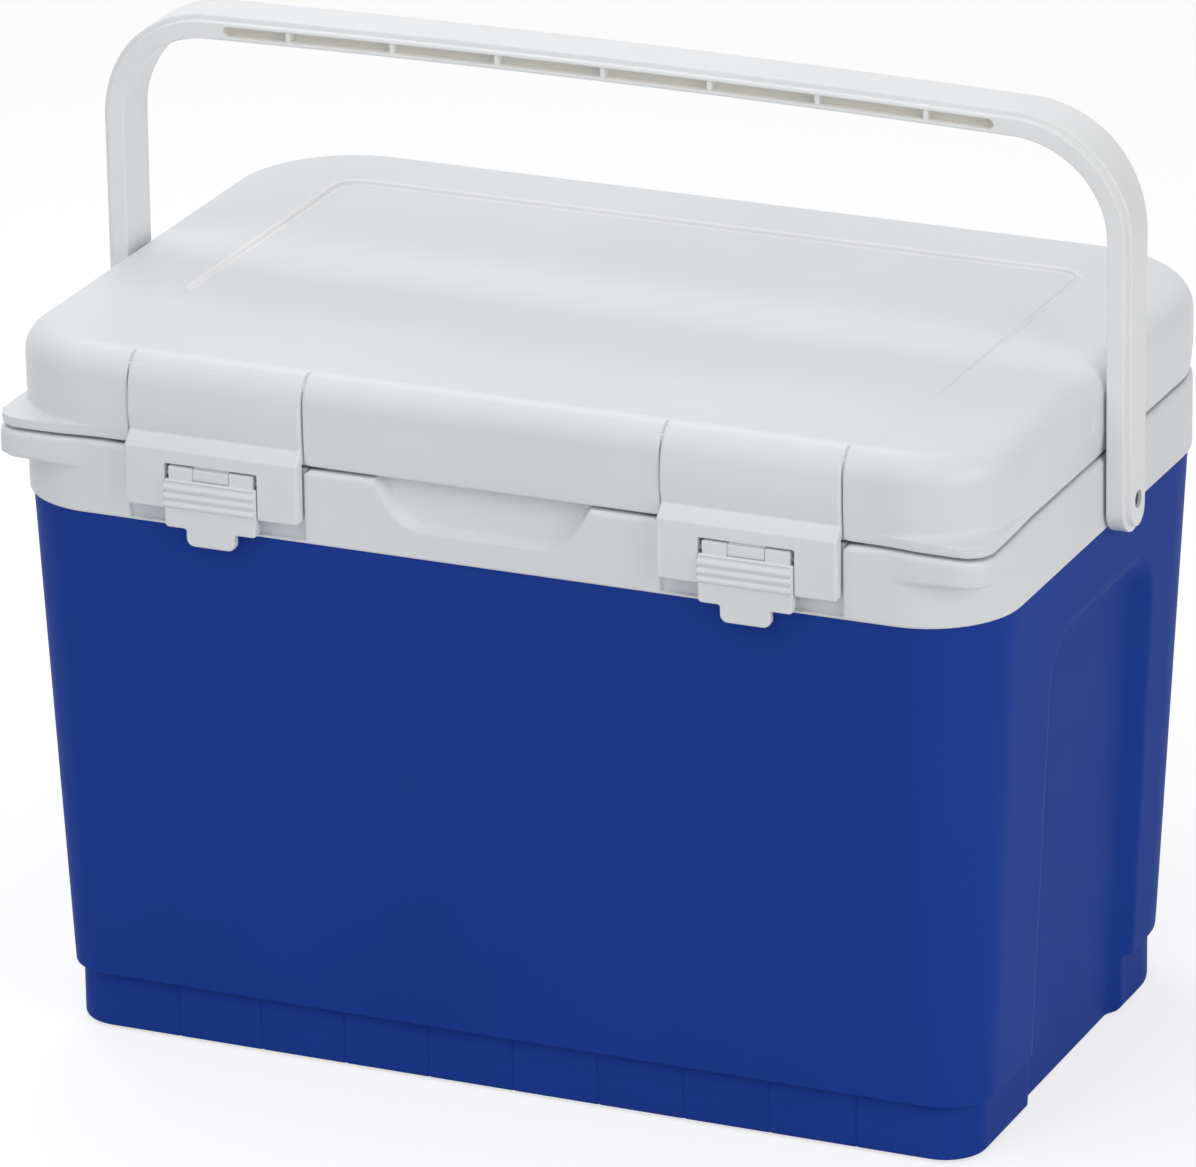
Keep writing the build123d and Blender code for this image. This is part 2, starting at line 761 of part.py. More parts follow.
# ---------------------------------------------------------------- handle
def handle_outline(offset):
    """Area under the handle's arch, as a face in the XZ plane; offset moves the arch outwards."""
    leg = leg_inside + offset
    radius = bend_radius + offset
    top = bend_top + offset
    low = pivot_height - leg_half_width - leg_end_drop - handle_thickness
    right = Line((leg, 0, low), (leg, 0, bend_z))
    diagonal = radius * cos(radians(45))
    bend_right = ThreePointArc(
        (leg, 0, bend_z), (bend_x + diagonal, 0, bend_z + diagonal), (bend_x, 0, top)
    )
    arch = ThreePointArc((bend_x, 0, top), (0, 0, top + grip_crown), (-bend_x, 0, top))
    bend_left = ThreePointArc(
        (-bend_x, 0, top), (-bend_x - diagonal, 0, bend_z + diagonal), (-leg, 0, bend_z)
    )
    left = Line((-leg, 0, bend_z), (-leg, 0, low))
    foot = Line((-leg, 0, low), (leg, 0, low))
    return make_face([right, bend_right, arch, bend_left, left, foot])


def handle_arch(inner, outer):
    """Full-width arch between two offsets of the handle's inside."""
    arch = extrude(handle_outline(outer), amount=2 * grip_half_width, dir=(0, 1, 0))
    arch -= extrude(handle_outline(inner), amount=2 * grip_half_width, dir=(0, 1, 0))
    return Pos(0, -grip_half_width, 0) * arch


def handle_layer(inner, outer, narrow):
    """One layer of the handle's thickness, cut to its side view."""
    leg = leg_half_width - narrow
    shoulder = leg_shoulder_half - narrow
    grip = grip_half_width - narrow
    top = grip_top + handle_thickness
    end_z = pivot_height - leg_end_drop
    reach = leg_outside + handle_thickness
    side_view = side_prism(
        [
            (-leg, end_z),
            (-shoulder, leg_shoulder),
            (-grip, grip_shoulder),
            (-grip, top),
            (grip, top),
            (grip, grip_shoulder),
            (shoulder, leg_shoulder),
            (leg, end_z),
        ],
        -reach,
        reach,
    )
    side_view += x_rod(leg, -reach, reach, 0, end_z)
    return handle_arch(inner, outer) & side_view


def make_carry_handle():
    band = handle_layer(0, handle_band, 0)
    rib = handle_layer(handle_band / 2, handle_thickness, rib_inset)
    handle = chamfer(band.edges(), handle_edge_chamfer) + chamfer(rib.edges(), handle_edge_chamfer)
    slot_low = (handle_band - grip_slot_height) / 2
    slot_y = (-grip_half_width, -grip_half_width + grip_slot_depth)
    slot_z = (grip_shoulder, grip_top)
    slot = handle_arch(slot_low, slot_low + grip_slot_height)
    slot &= block((-grip_slot_half, grip_slot_half), slot_y, slot_z)
    ends = slot.edges().filter_by(Axis.Y)
    slot = fillet(ends, grip_slot_height / 2 - grip_slot_flat)
    rib_count = int(grip_slot_half // grip_rib_pitch)
    for number in range(-rib_count, rib_count + 1):
        middle = number * grip_rib_pitch
        rib_x = (middle - grip_rib_width / 2, middle + grip_rib_width / 2)
        slot -= block(rib_x, (slot_y[0] + grip_rib_back, slot_y[1]), slot_z)
    handle -= slot
    for side in (-1, 1):
        low, high = sorted((side * (leg_inside - handle_gap), side * (leg_outside + handle_gap)))
        handle -= x_rod(pivot_pin_radius + running_gap, low, high, 0, pivot_height)
    return handle


def split_handle(handle):
    """The one-piece handle as simple nodes that meet face to face: legs, bends and grip."""
    reach = leg_outside + handle_thickness
    width = (-grip_half_width, grip_half_width)
    leg_zone = block((-reach, reach), width, (collar_bottom - handle_thickness, bend_z))
    grip_zone = block((-bend_x, bend_x), width, (bend_z, grip_top + handle_thickness))
    return {
        "handle_legs": handle & leg_zone,
        "handle_bends": handle - leg_zone - grip_zone,
        "handle_grip": handle & grip_zone,
    }


# ---------------------------------------------------------------- write the nodes
def make_all():
    nodes = {
        "outer_shell": make_outer_shell(),
        "foot_pads": make_foot_pads(),
        "shell_foam": make_shell_foam(),
        "inner_liner": make_inner_liner(),
        "rim_collar": make_rim_collar(),
        "ice_packs": make_ice_packs(),
        "ice_pack_caps": make_ice_pack_caps(),
        "hinge_pins": Compound(children=[hinge_pin(x, 0) for x in hinge_middles()]),
        "handle_pins": Compound(children=[handle_pin(side, 0) for side in (-1, 1)]),
        "lid_shell": make_lid_shell(),
        "lid_foam": make_lid_foam(),
        "lid_liner": make_lid_liner(),
        "lid_gasket": make_lid_gasket(),
        "latch_pins": Compound(children=[latch_pin(x, 0) for x in latch_middles()]),
    }
    nodes.update(split_handle(make_carry_handle()))
    for name, x in zip(("left", "right"), latch_middles()):
        nodes[f"{name}_latch_strap"] = make_latch_strap(x)
        nodes[f"{name}_lever_pin"] = lever_pin(x, 0)
        nodes[f"{name}_latch_lever"] = make_latch_lever(x)
    return nodes


for node_name, node_shape in make_all().items():
    save(node_shape, node_name)
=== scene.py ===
# %% [markdown]
# # A vaccine carrier, dressed in Blender
# The carrier is a tapered blue box with a white rim collar, a hinged lid, two pull-tab latches and a
# swinging handle. The solid model arrives as a fixed frame: every piece here is placed by it, in
# metres, with +Z up and the latches on the -Y side.
#
# Each lesson cell says what a piece is, how it could be made, and why this way was chosen.

# %% Load the frame
import math

import bmesh
import bpy
from mathutils import Matrix, Vector


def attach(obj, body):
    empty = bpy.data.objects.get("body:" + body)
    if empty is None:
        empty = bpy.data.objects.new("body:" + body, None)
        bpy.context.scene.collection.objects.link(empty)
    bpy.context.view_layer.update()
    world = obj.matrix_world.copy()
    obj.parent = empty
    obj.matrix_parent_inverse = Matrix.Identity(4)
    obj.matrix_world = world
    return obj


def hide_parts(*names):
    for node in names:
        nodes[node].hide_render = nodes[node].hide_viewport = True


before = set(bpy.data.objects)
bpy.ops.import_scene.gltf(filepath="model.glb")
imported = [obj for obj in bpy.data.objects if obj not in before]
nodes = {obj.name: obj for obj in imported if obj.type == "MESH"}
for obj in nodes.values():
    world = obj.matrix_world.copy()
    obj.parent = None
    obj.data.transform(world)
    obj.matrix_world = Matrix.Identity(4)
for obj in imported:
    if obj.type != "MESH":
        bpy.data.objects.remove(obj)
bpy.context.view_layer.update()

MM = 0.001


# %% Helpers for objects and node trees
def linked(name, data):
    """New object with this data, linked to the scene."""
    made = bpy.data.objects.new(name, data)
    bpy.context.scene.collection.objects.link(made)
    return made


def node_maker(tree):
    """Function that adds nodes to a tree; an input is a value, a socket or another node."""
    def make(kind, inputs=None, **settings):
        node = tree.nodes.new(kind)
        for name, value in settings.items():
            setattr(node, name, value)
        for name, value in (inputs or {}).items():
            if isinstance(value, bpy.types.Node):
                value = value.outputs[0]
            if isinstance(value, bpy.types.NodeSocket):
                tree.links.new(value, node.inputs[name])
            else:
                node.inputs[name].default_value = value
        return node
    return make


# %% [markdown]
# ## Camera
# A long lens keeps the box's edges nearly parallel, as in a catalogue view. The camera looks down at
# the box from the front right. Its place is a chain of turns about the target, because a slight roll
# is easy to lose in Euler angles. The small shift puts the optical centre where the framing needs it.

# %% Camera
AZIMUTH, ELEVATION, ROLL = (math.radians(a) for a in (23.65, 20.81, -0.75))
TARGET = Vector((-8.35, -1.24, 200.2)) * MM
DISTANCE = 4407.72 * MM
FRAME_WIDTH_PX, FOCAL_PX = 1196, 9581.77
SENSOR_MM = 36

camera = linked("camera", bpy.data.cameras.new("camera"))
place = Matrix.Translation(TARGET)
for angle, axis in ((AZIMUTH, "Z"), (math.pi / 2 - ELEVATION, "X"), (ROLL, "Z")):
    place = place @ Matrix.Rotation(angle, 4, axis)
camera.matrix_world = place @ Matrix.Translation((0, 0, DISTANCE))
camera.data.sensor_width = SENSOR_MM
camera.data.lens = FOCAL_PX / FRAME_WIDTH_PX * SENSOR_MM
camera.data.shift_x, camera.data.shift_y = -0.00459, 0.00321
camera.data.clip_end = 50
bpy.context.scene.camera = camera
bpy.context.scene.view_settings.view_transform = "Standard"
print("lens, mm:", round(camera.data.lens, 1))

# %% [markdown]
# ## Light and floor
# A product studio has large soft lamps and a white sweep. Here a weak lamp hangs above, a strong one
# stands in front and a warm one on the right. They light the object at a plain level, so colours
# render about as they are written. What the camera and reflections see as white comes from the
# world's colour and the floor's own material, not from stronger lamps, so the pale plastic never
# burns out.


# %% World
WORLD_LIGHT, WORLD_TINT = 0.385, (0.955, 0.97, 1.0, 1)


def seen_apart(make, as_light, as_seen):
    """Mix of two shaders: one lights the scene, the camera and clear reflections see the other."""
    ray = make("ShaderNodeLightPath").outputs
    seen = ray["Is Camera Ray"]
    for kind in ("Is Glossy Ray", "Is Transmission Ray"):
        seen = make("ShaderNodeMath", {0: seen, 1: ray[kind]}, operation="MAXIMUM")
    return make("ShaderNodeMixShader", {0: seen, 1: as_light, 2: as_seen})


world = bpy.data.worlds.new("studio")
bpy.context.scene.world = world
world.use_nodes = True
world.node_tree.nodes.clear()
make = node_maker(world.node_tree)
ambient = make("ShaderNodeBackground", {"Color": WORLD_TINT, "Strength": WORLD_LIGHT})
white = make("ShaderNodeBackground", {"Color": (1, 1, 1, 1), "Strength": 1.0})
make("ShaderNodeOutputWorld", {"Surface": seen_apart(make, ambient, white)})
print("world light:", WORLD_LIGHT)

# %% Soft lamps: place in m, size in m, power in W, colour
LAMPS = {
    "top_softbox": ((-0.6, 0.62, 1.8), 0.9, 7.5, (1, 1, 1)),
    "front_softbox": ((-0.5, -1.6, 2.4), 2.8, 28.5, (1, 1, 1)),
    "right_softbox": ((2.2, -0.9, 1.0), 1.4, 15.5, (1.0, 0.965, 0.91)),
}
LAMP_AIM = Vector((0, 0, 0.22))
for name, (place, size, power, colour) in LAMPS.items():
    lamp = bpy.data.lights.new(name, "AREA")
    lamp.size, lamp.energy, lamp.color = size, power, colour
    holder = linked(name, lamp)
    holder.location = place
    holder.rotation_euler = (LAMP_AIM - Vector(place)).to_track_quat("-Z", "Y").to_euler()
    print(name, power, "W")


# %% Floor
def node_material(name):
    """Empty node material and its node maker."""
    made = bpy.data.materials.new(name)
    made.use_nodes = True
    made.node_tree.nodes.clear()
    return made, node_maker(made.node_tree)


def grey(value):
    return (value, value, value, 1)


FLOOR_HALF = 6.0
FLOOR_LIGHT, FLOOR_SEEN, FLOOR_GLOW = 0.80, 0.42, 0.70
floor_mesh = bpy.data.meshes.new("floor")
corners = [(x * FLOOR_HALF, y * FLOOR_HALF, 0) for x, y in ((-1, -1), (1, -1), (1, 1), (-1, 1))]
floor_mesh.from_pydata(corners, [], [(0, 1, 2, 3)])
floor = linked("floor", floor_mesh)
sweep, make = node_material("white_sweep")
paint = make("ShaderNodeBsdfDiffuse", {"Color": grey(FLOOR_LIGHT)})
thin = make("ShaderNodeBsdfDiffuse", {"Color": grey(FLOOR_SEEN)})
glow = make("ShaderNodeEmission", {"Strength": FLOOR_GLOW})
both = make("ShaderNodeAddShader", {0: thin, 1: glow})
make("ShaderNodeOutputMaterial", {"Surface": seen_apart(make, paint, both)})
floor_mesh.materials.append(sweep)
print("floor, m:", 2 * FLOOR_HALF)

# %% [markdown]
# ## Moulded plastic
# Injection-moulded polyethylene isn't one flat colour. It has a fine spark-eroded grain, a slow drift
# of tone where the melt cooled unevenly, and a few soft rub marks. One maker function builds all the
# plastics of the carrier, so that they belong together. Colour and roughness drift with noise; the
# grain is a bump of a fraction of a millimetre. Constants sit on the shader's own sockets.


# %% A finish: one shader and the textures that feed it
class Finish:
    """Material with a Principled shader, whose look is driven by textures in object space."""

    def __init__(self, name, constants):
        self.material, self.make = node_material(name)
        self.shader = self.make("ShaderNodeBsdfPrincipled", constants)
        self.make("ShaderNodeOutputMaterial", {"Surface": self.shader})
        self.place = self.make("ShaderNodeTexCoord").outputs["Object"]

    def feed(self, socket, node):
        self.material.node_tree.links.new(node.outputs[0], self.shader.inputs[socket])

    def noise(self, scale, detail, place=None, **more):
        inputs = {"Vector": place or self.place, "Scale": scale, "Detail": detail, **more}
        return self.make("ShaderNodeTexNoise", inputs)

    def tone(self, texture, colour, darkest, lightest, span=(0, 1)):
        """Base colour that runs between two shades of a colour with a texture."""
        ramp = self.make("ShaderNodeValToRGB", {"Fac": texture})
        for stop, position, shade in zip(ramp.color_ramp.elements, span, (darkest, lightest)):
            stop.position = position
            stop.color = (*[min(1, c * shade) for c in colour], 1)
        self.feed("Base Color", ramp)

    def rough(self, texture, low, high):
        inputs = {"Value": texture, "To Min": low, "To Max": high}
        self.feed("Roughness", self.make("ShaderNodeMapRange", inputs))

    def bump(self, texture, strength, height):
        """Bump of a height in mm."""
        inputs = {"Strength": strength, "Distance": height * MM, "Height": texture}
        self.feed("Normal", self.make("ShaderNodeBump", inputs))


# %% Plastics
DRIFT_SCALE, RUB_SCALE, GRAIN_SIZE = 7.0, 38.0, 1.1
BLUE = (0.0165, 0.055, 0.335)
WHITE = (0.795, 0.815, 0.835)


def moulded_plastic(name, colour, drift=0.03, roughness=0.42, gloss=0.35, grain=0.06):
    """Plastic with a mould grain; drift is how much the tone wanders, grain the bump's strength."""
    finish = Finish(name, {"Specular IOR Level": gloss})
    finish.tone(finish.noise(DRIFT_SCALE, 3.0), colour, 1 - drift, 1 + drift, (0.3, 0.7))
    rub = finish.noise(RUB_SCALE, 6.0, Roughness=0.65)
    finish.rough(rub, roughness - 0.06, roughness + 0.08)
    finish.bump(finish.noise(1000 / GRAIN_SIZE, 2.0), grain, 0.3)
    return finish.material


SHINY = {"roughness": 0.36, "gloss": 0.42}
DULL_BLUE = {"drift": 0.05, "roughness": 0.5, "gloss": 0.03, "grain": 0.10}
SMOOTH = {"roughness": 0.30, "gloss": 0.45, "grain": 0.02}
blue_plastic = moulded_plastic("blue_shell_plastic", BLUE, **DULL_BLUE)
collar_plastic = moulded_plastic("collar_plastic", WHITE, roughness=0.44)
lid_plastic = moulded_plastic("lid_plastic", WHITE, **SHINY)
# Lighter white for the lid panel's edge at the back and left: a painted highlight.
rubbed_plastic = moulded_plastic("rubbed_lid_edge", (0.905, 0.89, 0.895), **SHINY)
# The handle's white is lighter than the lid's: painted light, for the brighter light on the grip.
handle_plastic = moulded_plastic("handle_plastic", (0.865, 0.875, 0.885), **SHINY)
latch_plastic = moulded_plastic("latch_plastic", (0.80, 0.82, 0.84), roughness=0.40)
liner_plastic = moulded_plastic("liner_plastic", (0.80, 0.80, 0.77), **SMOOTH)
pin_plastic = moulded_plastic("handle_pin_plastic", (0.055, 0.056, 0.058), roughness=0.45)
dark_steel = moulded_plastic("lever_pin_metal", (0.42, 0.42, 0.43), roughness=0.5)
# Warm off-white for the inside of the handle's slot: painted bounce light, the warm light reflected
# round the slot.
slot_plastic = moulded_plastic("slot_inside_plastic", (0.87, 0.855, 0.82), roughness=0.55, gloss=0.1)
cap_plastic = moulded_plastic("pack_cap_plastic", (0.03, 0.12, 0.46), roughness=0.35)
print("finishes so far:", len(bpy.data.materials))

# %% [markdown]
# ## The other finishes
# The foot pads and the lid seal are rubber, dull and a little dusty. The hidden pins are drawn steel
# with fine lines along their length. The foam is a mass of small cells. The ice packs are milky blown
# plastic that lets some light through.


# %% Rubber, steel, foam and ice pack
def dusty(name, colour):
    """Dull rubber whose dust shows as specks of tone and a faint bump."""
    rubber = Finish(name, {"Roughness": 0.8})
    dust = rubber.noise(160.0, 5.0)
    rubber.tone(dust, colour, 0.82, 1.12)
    rubber.bump(dust, 0.25, 0.2)
    return rubber.material


pad_rubber = dusty("foot_pad_rubber", (0.62, 0.63, 0.64))
seal_rubber = dusty("lid_seal_rubber", (0.30, 0.31, 0.32))

drawn = Finish("drawn_steel", {"Base Color": (0.60, 0.61, 0.62, 1), "Metallic": 1.0})
along = drawn.make("ShaderNodeMapping", {"Scale": (12, 900, 900), "Vector": drawn.place})
drawn.rough(drawn.noise(1.0, 3.0, along), 0.25, 0.48)

foamed = Finish("rigid_foam", {"Roughness": 0.95})
cells = foamed.make("ShaderNodeTexVoronoi", {"Scale": 420.0, "Vector": foamed.place})
foamed.tone(cells, (0.80, 0.68, 0.42), 0.7, 1.0)
foamed.bump(cells, 0.5, 0.8)

MILKY = {"Roughness": 0.32, "Subsurface Weight": 0.4, "Subsurface Scale": 6 * MM}
milky = Finish("ice_pack_plastic", MILKY)
milky.tone(milky.noise(30.0, 4.0), (0.66, 0.76, 0.84), 0.88, 1.0)

steel, foam, ice_plastic = drawn.material, foamed.material, milky.material
print("materials in all:", len(bpy.data.materials))

# %% [markdown]
# ## The size of things
# The shell, the collar and the lid share one outline: a rectangle with small round corners at the
# front and larger ones at the back. An outline is four numbers in millimetres: length, depth, front
# radius and back radius. Written this way, moving a wall in or out is one call.

# %% Sizes shared by the large mouldings, mm
BOX = (480.0, 310.7, 43.4, 61.3)
FOOT = (455.3, 269.3, 24.0, 47.6)
FRONT_Y = -BOX[1] / 2
BAND_INSET, OVERHANG = 3.7, 1.8
BASE_Z, BAND_TOP, COLLAR_BOTTOM, COLLAR_TOP, LID_BOTTOM, LID_TOP = 1.2, 28.7, 264.6, 299.5, 301.0, 343.3
LATCH_X = 129.6
SIDES = (("left", -LATCH_X), ("right", LATCH_X))
HINGE_X, HINGE_Y, HINGE_Z = 130.0, 157.35, 300.25
SLOPE = ((BOX[0] - 2 * OVERHANG) - FOOT[0]) / 2 / (COLLAR_BOTTOM - BAND_TOP)
RADIUS_LEAST = 2


def inset(plan, distance):
    """Outline moved inwards by a distance."""
    length, depth, front, back = plan
    radii = (max(radius - distance, RADIUS_LEAST) for radius in (front, back))
    return (length - 2 * distance, depth - 2 * distance, *radii)


def shell_plan(level):
    """Outline of the tapered shell at a height."""
    share = (level - BAND_TOP) / (COLLAR_BOTTOM - BAND_TOP)
    return tuple(low + (high - low) * share for low, high in zip(FOOT, inset(BOX, OVERHANG)))


def ease(share):
    """Ramp from 0 to 1 whose two ends are rounded."""
    share = min(1.0, max(0.0, share))
    end = 0.25
    slope = 1 / (1 - end)
    if share < end:
        return slope * share * share / (2 * end)
    if share > 1 - end:
        return 1 - slope * (1 - share) ** 2 / (2 * end)
    return slope * (share - end / 2)


def round_over(distance, radius):
    """How far a rounded edge falls away, at a distance out from the hole that it borders."""
    if distance >= radius:
        return 0.0
    return radius - math.sqrt(radius * radius - (radius - distance) ** 2)


def outside(u, v):
    """Distance outside a square corner, or how deep inside it as a negative number."""
    return math.hypot(max(u, 0), max(v, 0)) + min(max(u, v), 0)


def steps(start, end, spacing):
    """Evenly spaced numbers from start to end."""
    count = max(1, round(abs(end - start) / spacing))
    return [start + (end - start) * k / count for k in range(count + 1)]


def both_sides(values):
    """The values and their mirror images, in order and without repeats."""
    return sorted(set([round(v, 4) for v in values] + [round(-v, 4) for v in values]))


def arc(u, v, radius, angles):
    """Points on a circle at angles in degrees."""
    turns = [math.radians(a) for a in angles]
    return [(u + radius * math.cos(a), v + radius * math.sin(a)) for a in turns]


def quarter(radius, spacing):
    """Rounded lower edge: pairs of how far in and how far up, from the bottom to the wall."""
    turns = [math.radians(a) for a in steps(0, 90, spacing)]
    return [(radius * (1 - math.sin(a)), radius * (1 - math.cos(a))) for a in turns]


print("shell comes in by", round(math.degrees(math.atan(SLOPE)), 2), "degrees a side")

# %% [markdown]
# ## Wrapping a skin round the box
# These mouldings could be carved with Booleans, but every cut would leave a hard edge. A skin made of
# rings is softer: each ring is the outline at one height, cut into the same columns, so hollows and
# bulges are made by moving points in or out. Columns crowd together where a detail needs them.

# %% Rings
ARC_STEPS, RUN_STEPS = 14, 2


def run(start, end):
    """Inner points of the short straight between the last column and a corner."""
    return [start + (end - start) * (k + 1) / (RUN_STEPS + 1) for k in range(RUN_STEPS)]


def round_corner(x, y, radius, start):
    """Points of a quarter round with their outward directions."""
    for k in range(ARC_STEPS + 1):
        angle = math.radians(start + 90 * k / ARC_STEPS)
        nx, ny = math.cos(angle), math.sin(angle)
        yield (x + radius * nx, y + radius * ny, nx, ny)


def ring(plan, columns):
    """Points round the outline with their outward directions, anticlockwise from the front's left."""
    length, depth, front, back = plan
    front_xs, side_ys, back_xs = columns
    x, y = length / 2, depth / 2
    reach_front, reach_back = x - front, x - back
    low, high = front - y, y - back
    fronts = [v * min(1, reach_front / front_xs[-1]) for v in front_xs]
    backs = [v * min(1, reach_back / back_xs[-1]) for v in back_xs]
    sides = [v * (min(1, low / side_ys[0]) if v < 0 else min(1, high / side_ys[-1])) for v in side_ys]
    points = [(v, -y, 0, -1) for v in fronts + run(fronts[-1], reach_front)]
    points += round_corner(reach_front, low, front, -90)
    points += [(x, v, 1, 0) for v in run(low, sides[0]) + sides + run(sides[-1], high)]
    points += round_corner(reach_back, high, back, 0)
    rear = run(reach_back, backs[-1]) + backs[::-1] + run(backs[0], -reach_back)
    points += [(v, y, 0, 1) for v in rear]
    points += round_corner(-reach_back, high, back, 90)
    points += [(-x, v, -1, 0) for v in run(high, sides[-1]) + sides[::-1] + run(sides[0], low)]
    points += round_corner(-reach_front, low, front, 180)
    points += [(v, -y, 0, -1) for v in run(-reach_front, fronts[0])]
    return points


def ring_faces(rings, count, loop=False):
    """Faces between rings of points; a loop joins the last to the first, else both get a flat cap."""
    faces = []
    for r in range(rings if loop else rings - 1):
        here, above = r * count, (r + 1) % rings * count
        for c in range(count):
            d = (c + 1) % count
            faces.append((here + c, here + d, above + d, above + c))
    if not loop:
        faces.append(tuple(range(count))[::-1])
        faces.append(tuple(range((rings - 1) * count, rings * count)))
    return faces


def row(plan, z, part="out", ear=0.0, tilt=0.0, **more):
    """One ring of a skin."""
    return {"plan": plan, "z": z, "part": part, "ear": ear, "tilt": tilt, **more}


def edge_rows(plan, z, radius, spacing, part="out", ear=0.0):
    """Rings of a rounded lower edge that starts at a height."""
    return [row(inset(plan, off), z + rise, part, ear) for off, rise in quarter(radius, spacing)]


def skin(rows, columns, shape, loop=False):
    """Points and faces of a skin; shape(row, column, point, outward) gives each point's place."""
    points = []
    for one in rows:
        for number, (x, y, nx, ny) in enumerate(ring(one["plan"], columns)):
            points.append(shape(one, number, (x, y, one["z"]), (nx, ny)))
    return points, ring_faces(len(rows), len(points) // len(rows), loop)


# %% Meshes and pieces
MERGE, SHARP_ANGLE = 0.004, 32.0


def mesh_of(name, points, faces=(), edges=()):
    """Mesh from points in mm."""
    mesh = bpy.data.meshes.new(name)
    mesh.from_pydata([(x * MM, y * MM, z * MM) for x, y, z in points], edges, faces)
    return mesh


def merged(mesh, distance=MERGE):
    """Editable copy of a mesh, with points closer than a distance in mm merged."""
    shape = bmesh.new()
    shape.from_mesh(mesh)
    bmesh.ops.remove_doubles(shape, verts=shape.verts, dist=distance * MM)
    return shape


def stored(shape, mesh):
    """Writes an editable copy back to its mesh; returns how many edges don't join two faces."""
    count = sum(1 for edge in shape.edges if not edge.is_manifold)
    shape.to_mesh(mesh)
    shape.free()
    return count


def finish_piece(name, mesh, material):
    """Object from a mesh: merged, faced outwards, smooth up to an angle and with its material."""
    shape = merged(mesh)
    bmesh.ops.dissolve_degenerate(shape, edges=shape.edges, dist=MERGE / 2 * MM)
    bmesh.ops.recalc_face_normals(shape, faces=shape.faces)
    for face in shape.faces:
        face.smooth = True
    open_edges = stored(shape, mesh)
    mesh.set_sharp_from_angle(angle=math.radians(SHARP_ANGLE))
    mesh.materials.clear()
    mesh.materials.append(material)
    piece = linked(name, mesh)
    piece.modifiers.new("even_shading", "WEIGHTED_NORMAL").keep_sharp = True
    print(name, len(mesh.polygons), "faces,", open_edges, "open edges")
    return piece


def new_piece(name, points, faces, material):
    """Finished object from points in mm."""
    return finish_piece(name, mesh_of(name, points, faces), material)


def stand_for(piece, body, slot_name, *names):
    """Seats a finished piece on its body, in place of the solids that it dresses."""
    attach(piece, body)
    if names:
        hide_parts(*names)
    return piece


def paint_faces(piece, material, chosen):
    """Gives a second material to the faces whose middle in mm and upward tilt pass a test."""
    piece.data.materials.append(material)
    count = 0
    for face in piece.data.polygons:
        if chosen(*[c / MM for c in face.center], face.normal.z):
            face.material_index = 1
            count += 1
    print(material.name, "faces:", count)


print("points round the box at each corner:", ARC_STEPS + 1)

# %% [markdown]
# ## Blue outer shell
# The shell is one deep moulding that narrows downwards so that it slips off its mould. A soft-edged
# panel is pressed into each end, a plain base band stands back under it, and shallow ticks divide the
# band's front. It could be a box with a bevel, but then the pressed panels would have hard rims.
# Rings with a rule for the panel's depth give soft shoulders, and the band's small step stays crisp.

# %% Rule for the pressed end panels, mm
END_DEPTH, END_HALF, END_TOP, END_ROUND, END_SHOULDER = 7.4, 51.0, 219.0, 13.0, 15.0
WALL = 4.5


def end_depth(y, z, grow):
    """Depth of the end panel: full inside its floor, then up a rounded shoulder."""
    away = outside(abs(y) - (END_HALF - END_ROUND), z - (END_TOP - END_ROUND)) - END_ROUND
    return END_DEPTH * (1 - ease((away - grow) / END_SHOULDER))


def press_end(x, y, z, wall=0.0):
    """Moves a point of the end wall in to the panel's surface."""
    depth = end_depth(y, z, wall)
    limit = FOOT[0] / 2 + SLOPE * (z - BAND_TOP) - wall - depth
    if depth > 0.01 and abs(x) > limit:
        x = math.copysign(limit, x)
    return x


print("panel depth in its middle, mm:", end_depth(0, BAND_TOP, 0))

# %% Rule for the ticks on the base band
TICK_PITCH, TICK_WIDTH, TICK_DEPTH, TICKS_EACH_WAY = 42.1, 2.0, 0.55, 4


def tick_depth(x, z):
    """Shallow upright grooves across the band's front."""
    off = abs(x - TICK_PITCH * round(x / TICK_PITCH))
    beyond = abs(x) > (TICKS_EACH_WAY + 0.5) * TICK_PITCH
    if off > TICK_WIDTH / 2 or beyond or z > BAND_TOP - 1:
        return 0.0
    return TICK_DEPTH * math.cos(math.pi * off / TICK_WIDTH)


print("tick depth, mm:", tick_depth(TICK_PITCH, BASE_Z))

# %% Columns and rings of the shell
BOTTOM_ROUND, STEP_ROUND = 2.4, 0.9
FLOOR_IN, INNER_FLOOR = 60, 7.2
TONGUE_IN, TONGUE_HEIGHT, TONGUE_WALL = 5.3, 4.5, 2.2
tick_xs = [n * TICK_PITCH + off for n in range(TICKS_EACH_WAY + 1) for off in (-1.0, -0.5, 0, 0.5, 1.0)]
shell_columns = (
    both_sides([v for v in tick_xs if v >= 0] + steps(0, 177, 8)),
    steps(-98, -70, 7) + steps(-68, -36, 2) + steps(-30, 30, 10) + steps(36, 68, 2) + steps(72, 84, 6),
    both_sides(steps(0, 177, 16)),
)
band = inset(FOOT, BAND_INSET)
shell_rows = [row(inset(band, FLOOR_IN), BASE_Z)]
shell_rows += edge_rows(band, BASE_Z, BOTTOM_ROUND, 18, "band")
shell_rows += [row(band, z, "band") for z in (8, 15, 22, 27.2)]
shell_rows += [row(inset(band, -0.15), BAND_TOP - 0.35), row(inset(band, -0.7), BAND_TOP)]
shell_rows += edge_rows(FOOT, BAND_TOP, STEP_ROUND, 30)
levels = steps(36, 180, 12) + steps(186, 198, 4) + steps(200, 238, 2) + steps(242, 262, 5)
shell_rows += [row(shell_plan(z), z) for z in levels + [COLLAR_BOTTOM]]
tongue, tongue_top = inset(BOX, TONGUE_IN), COLLAR_BOTTOM + TONGUE_HEIGHT
shell_rows += [row(tongue, COLLAR_BOTTOM), row(tongue, tongue_top)]
shell_rows.append(row(inset(tongue, TONGUE_WALL), tongue_top))
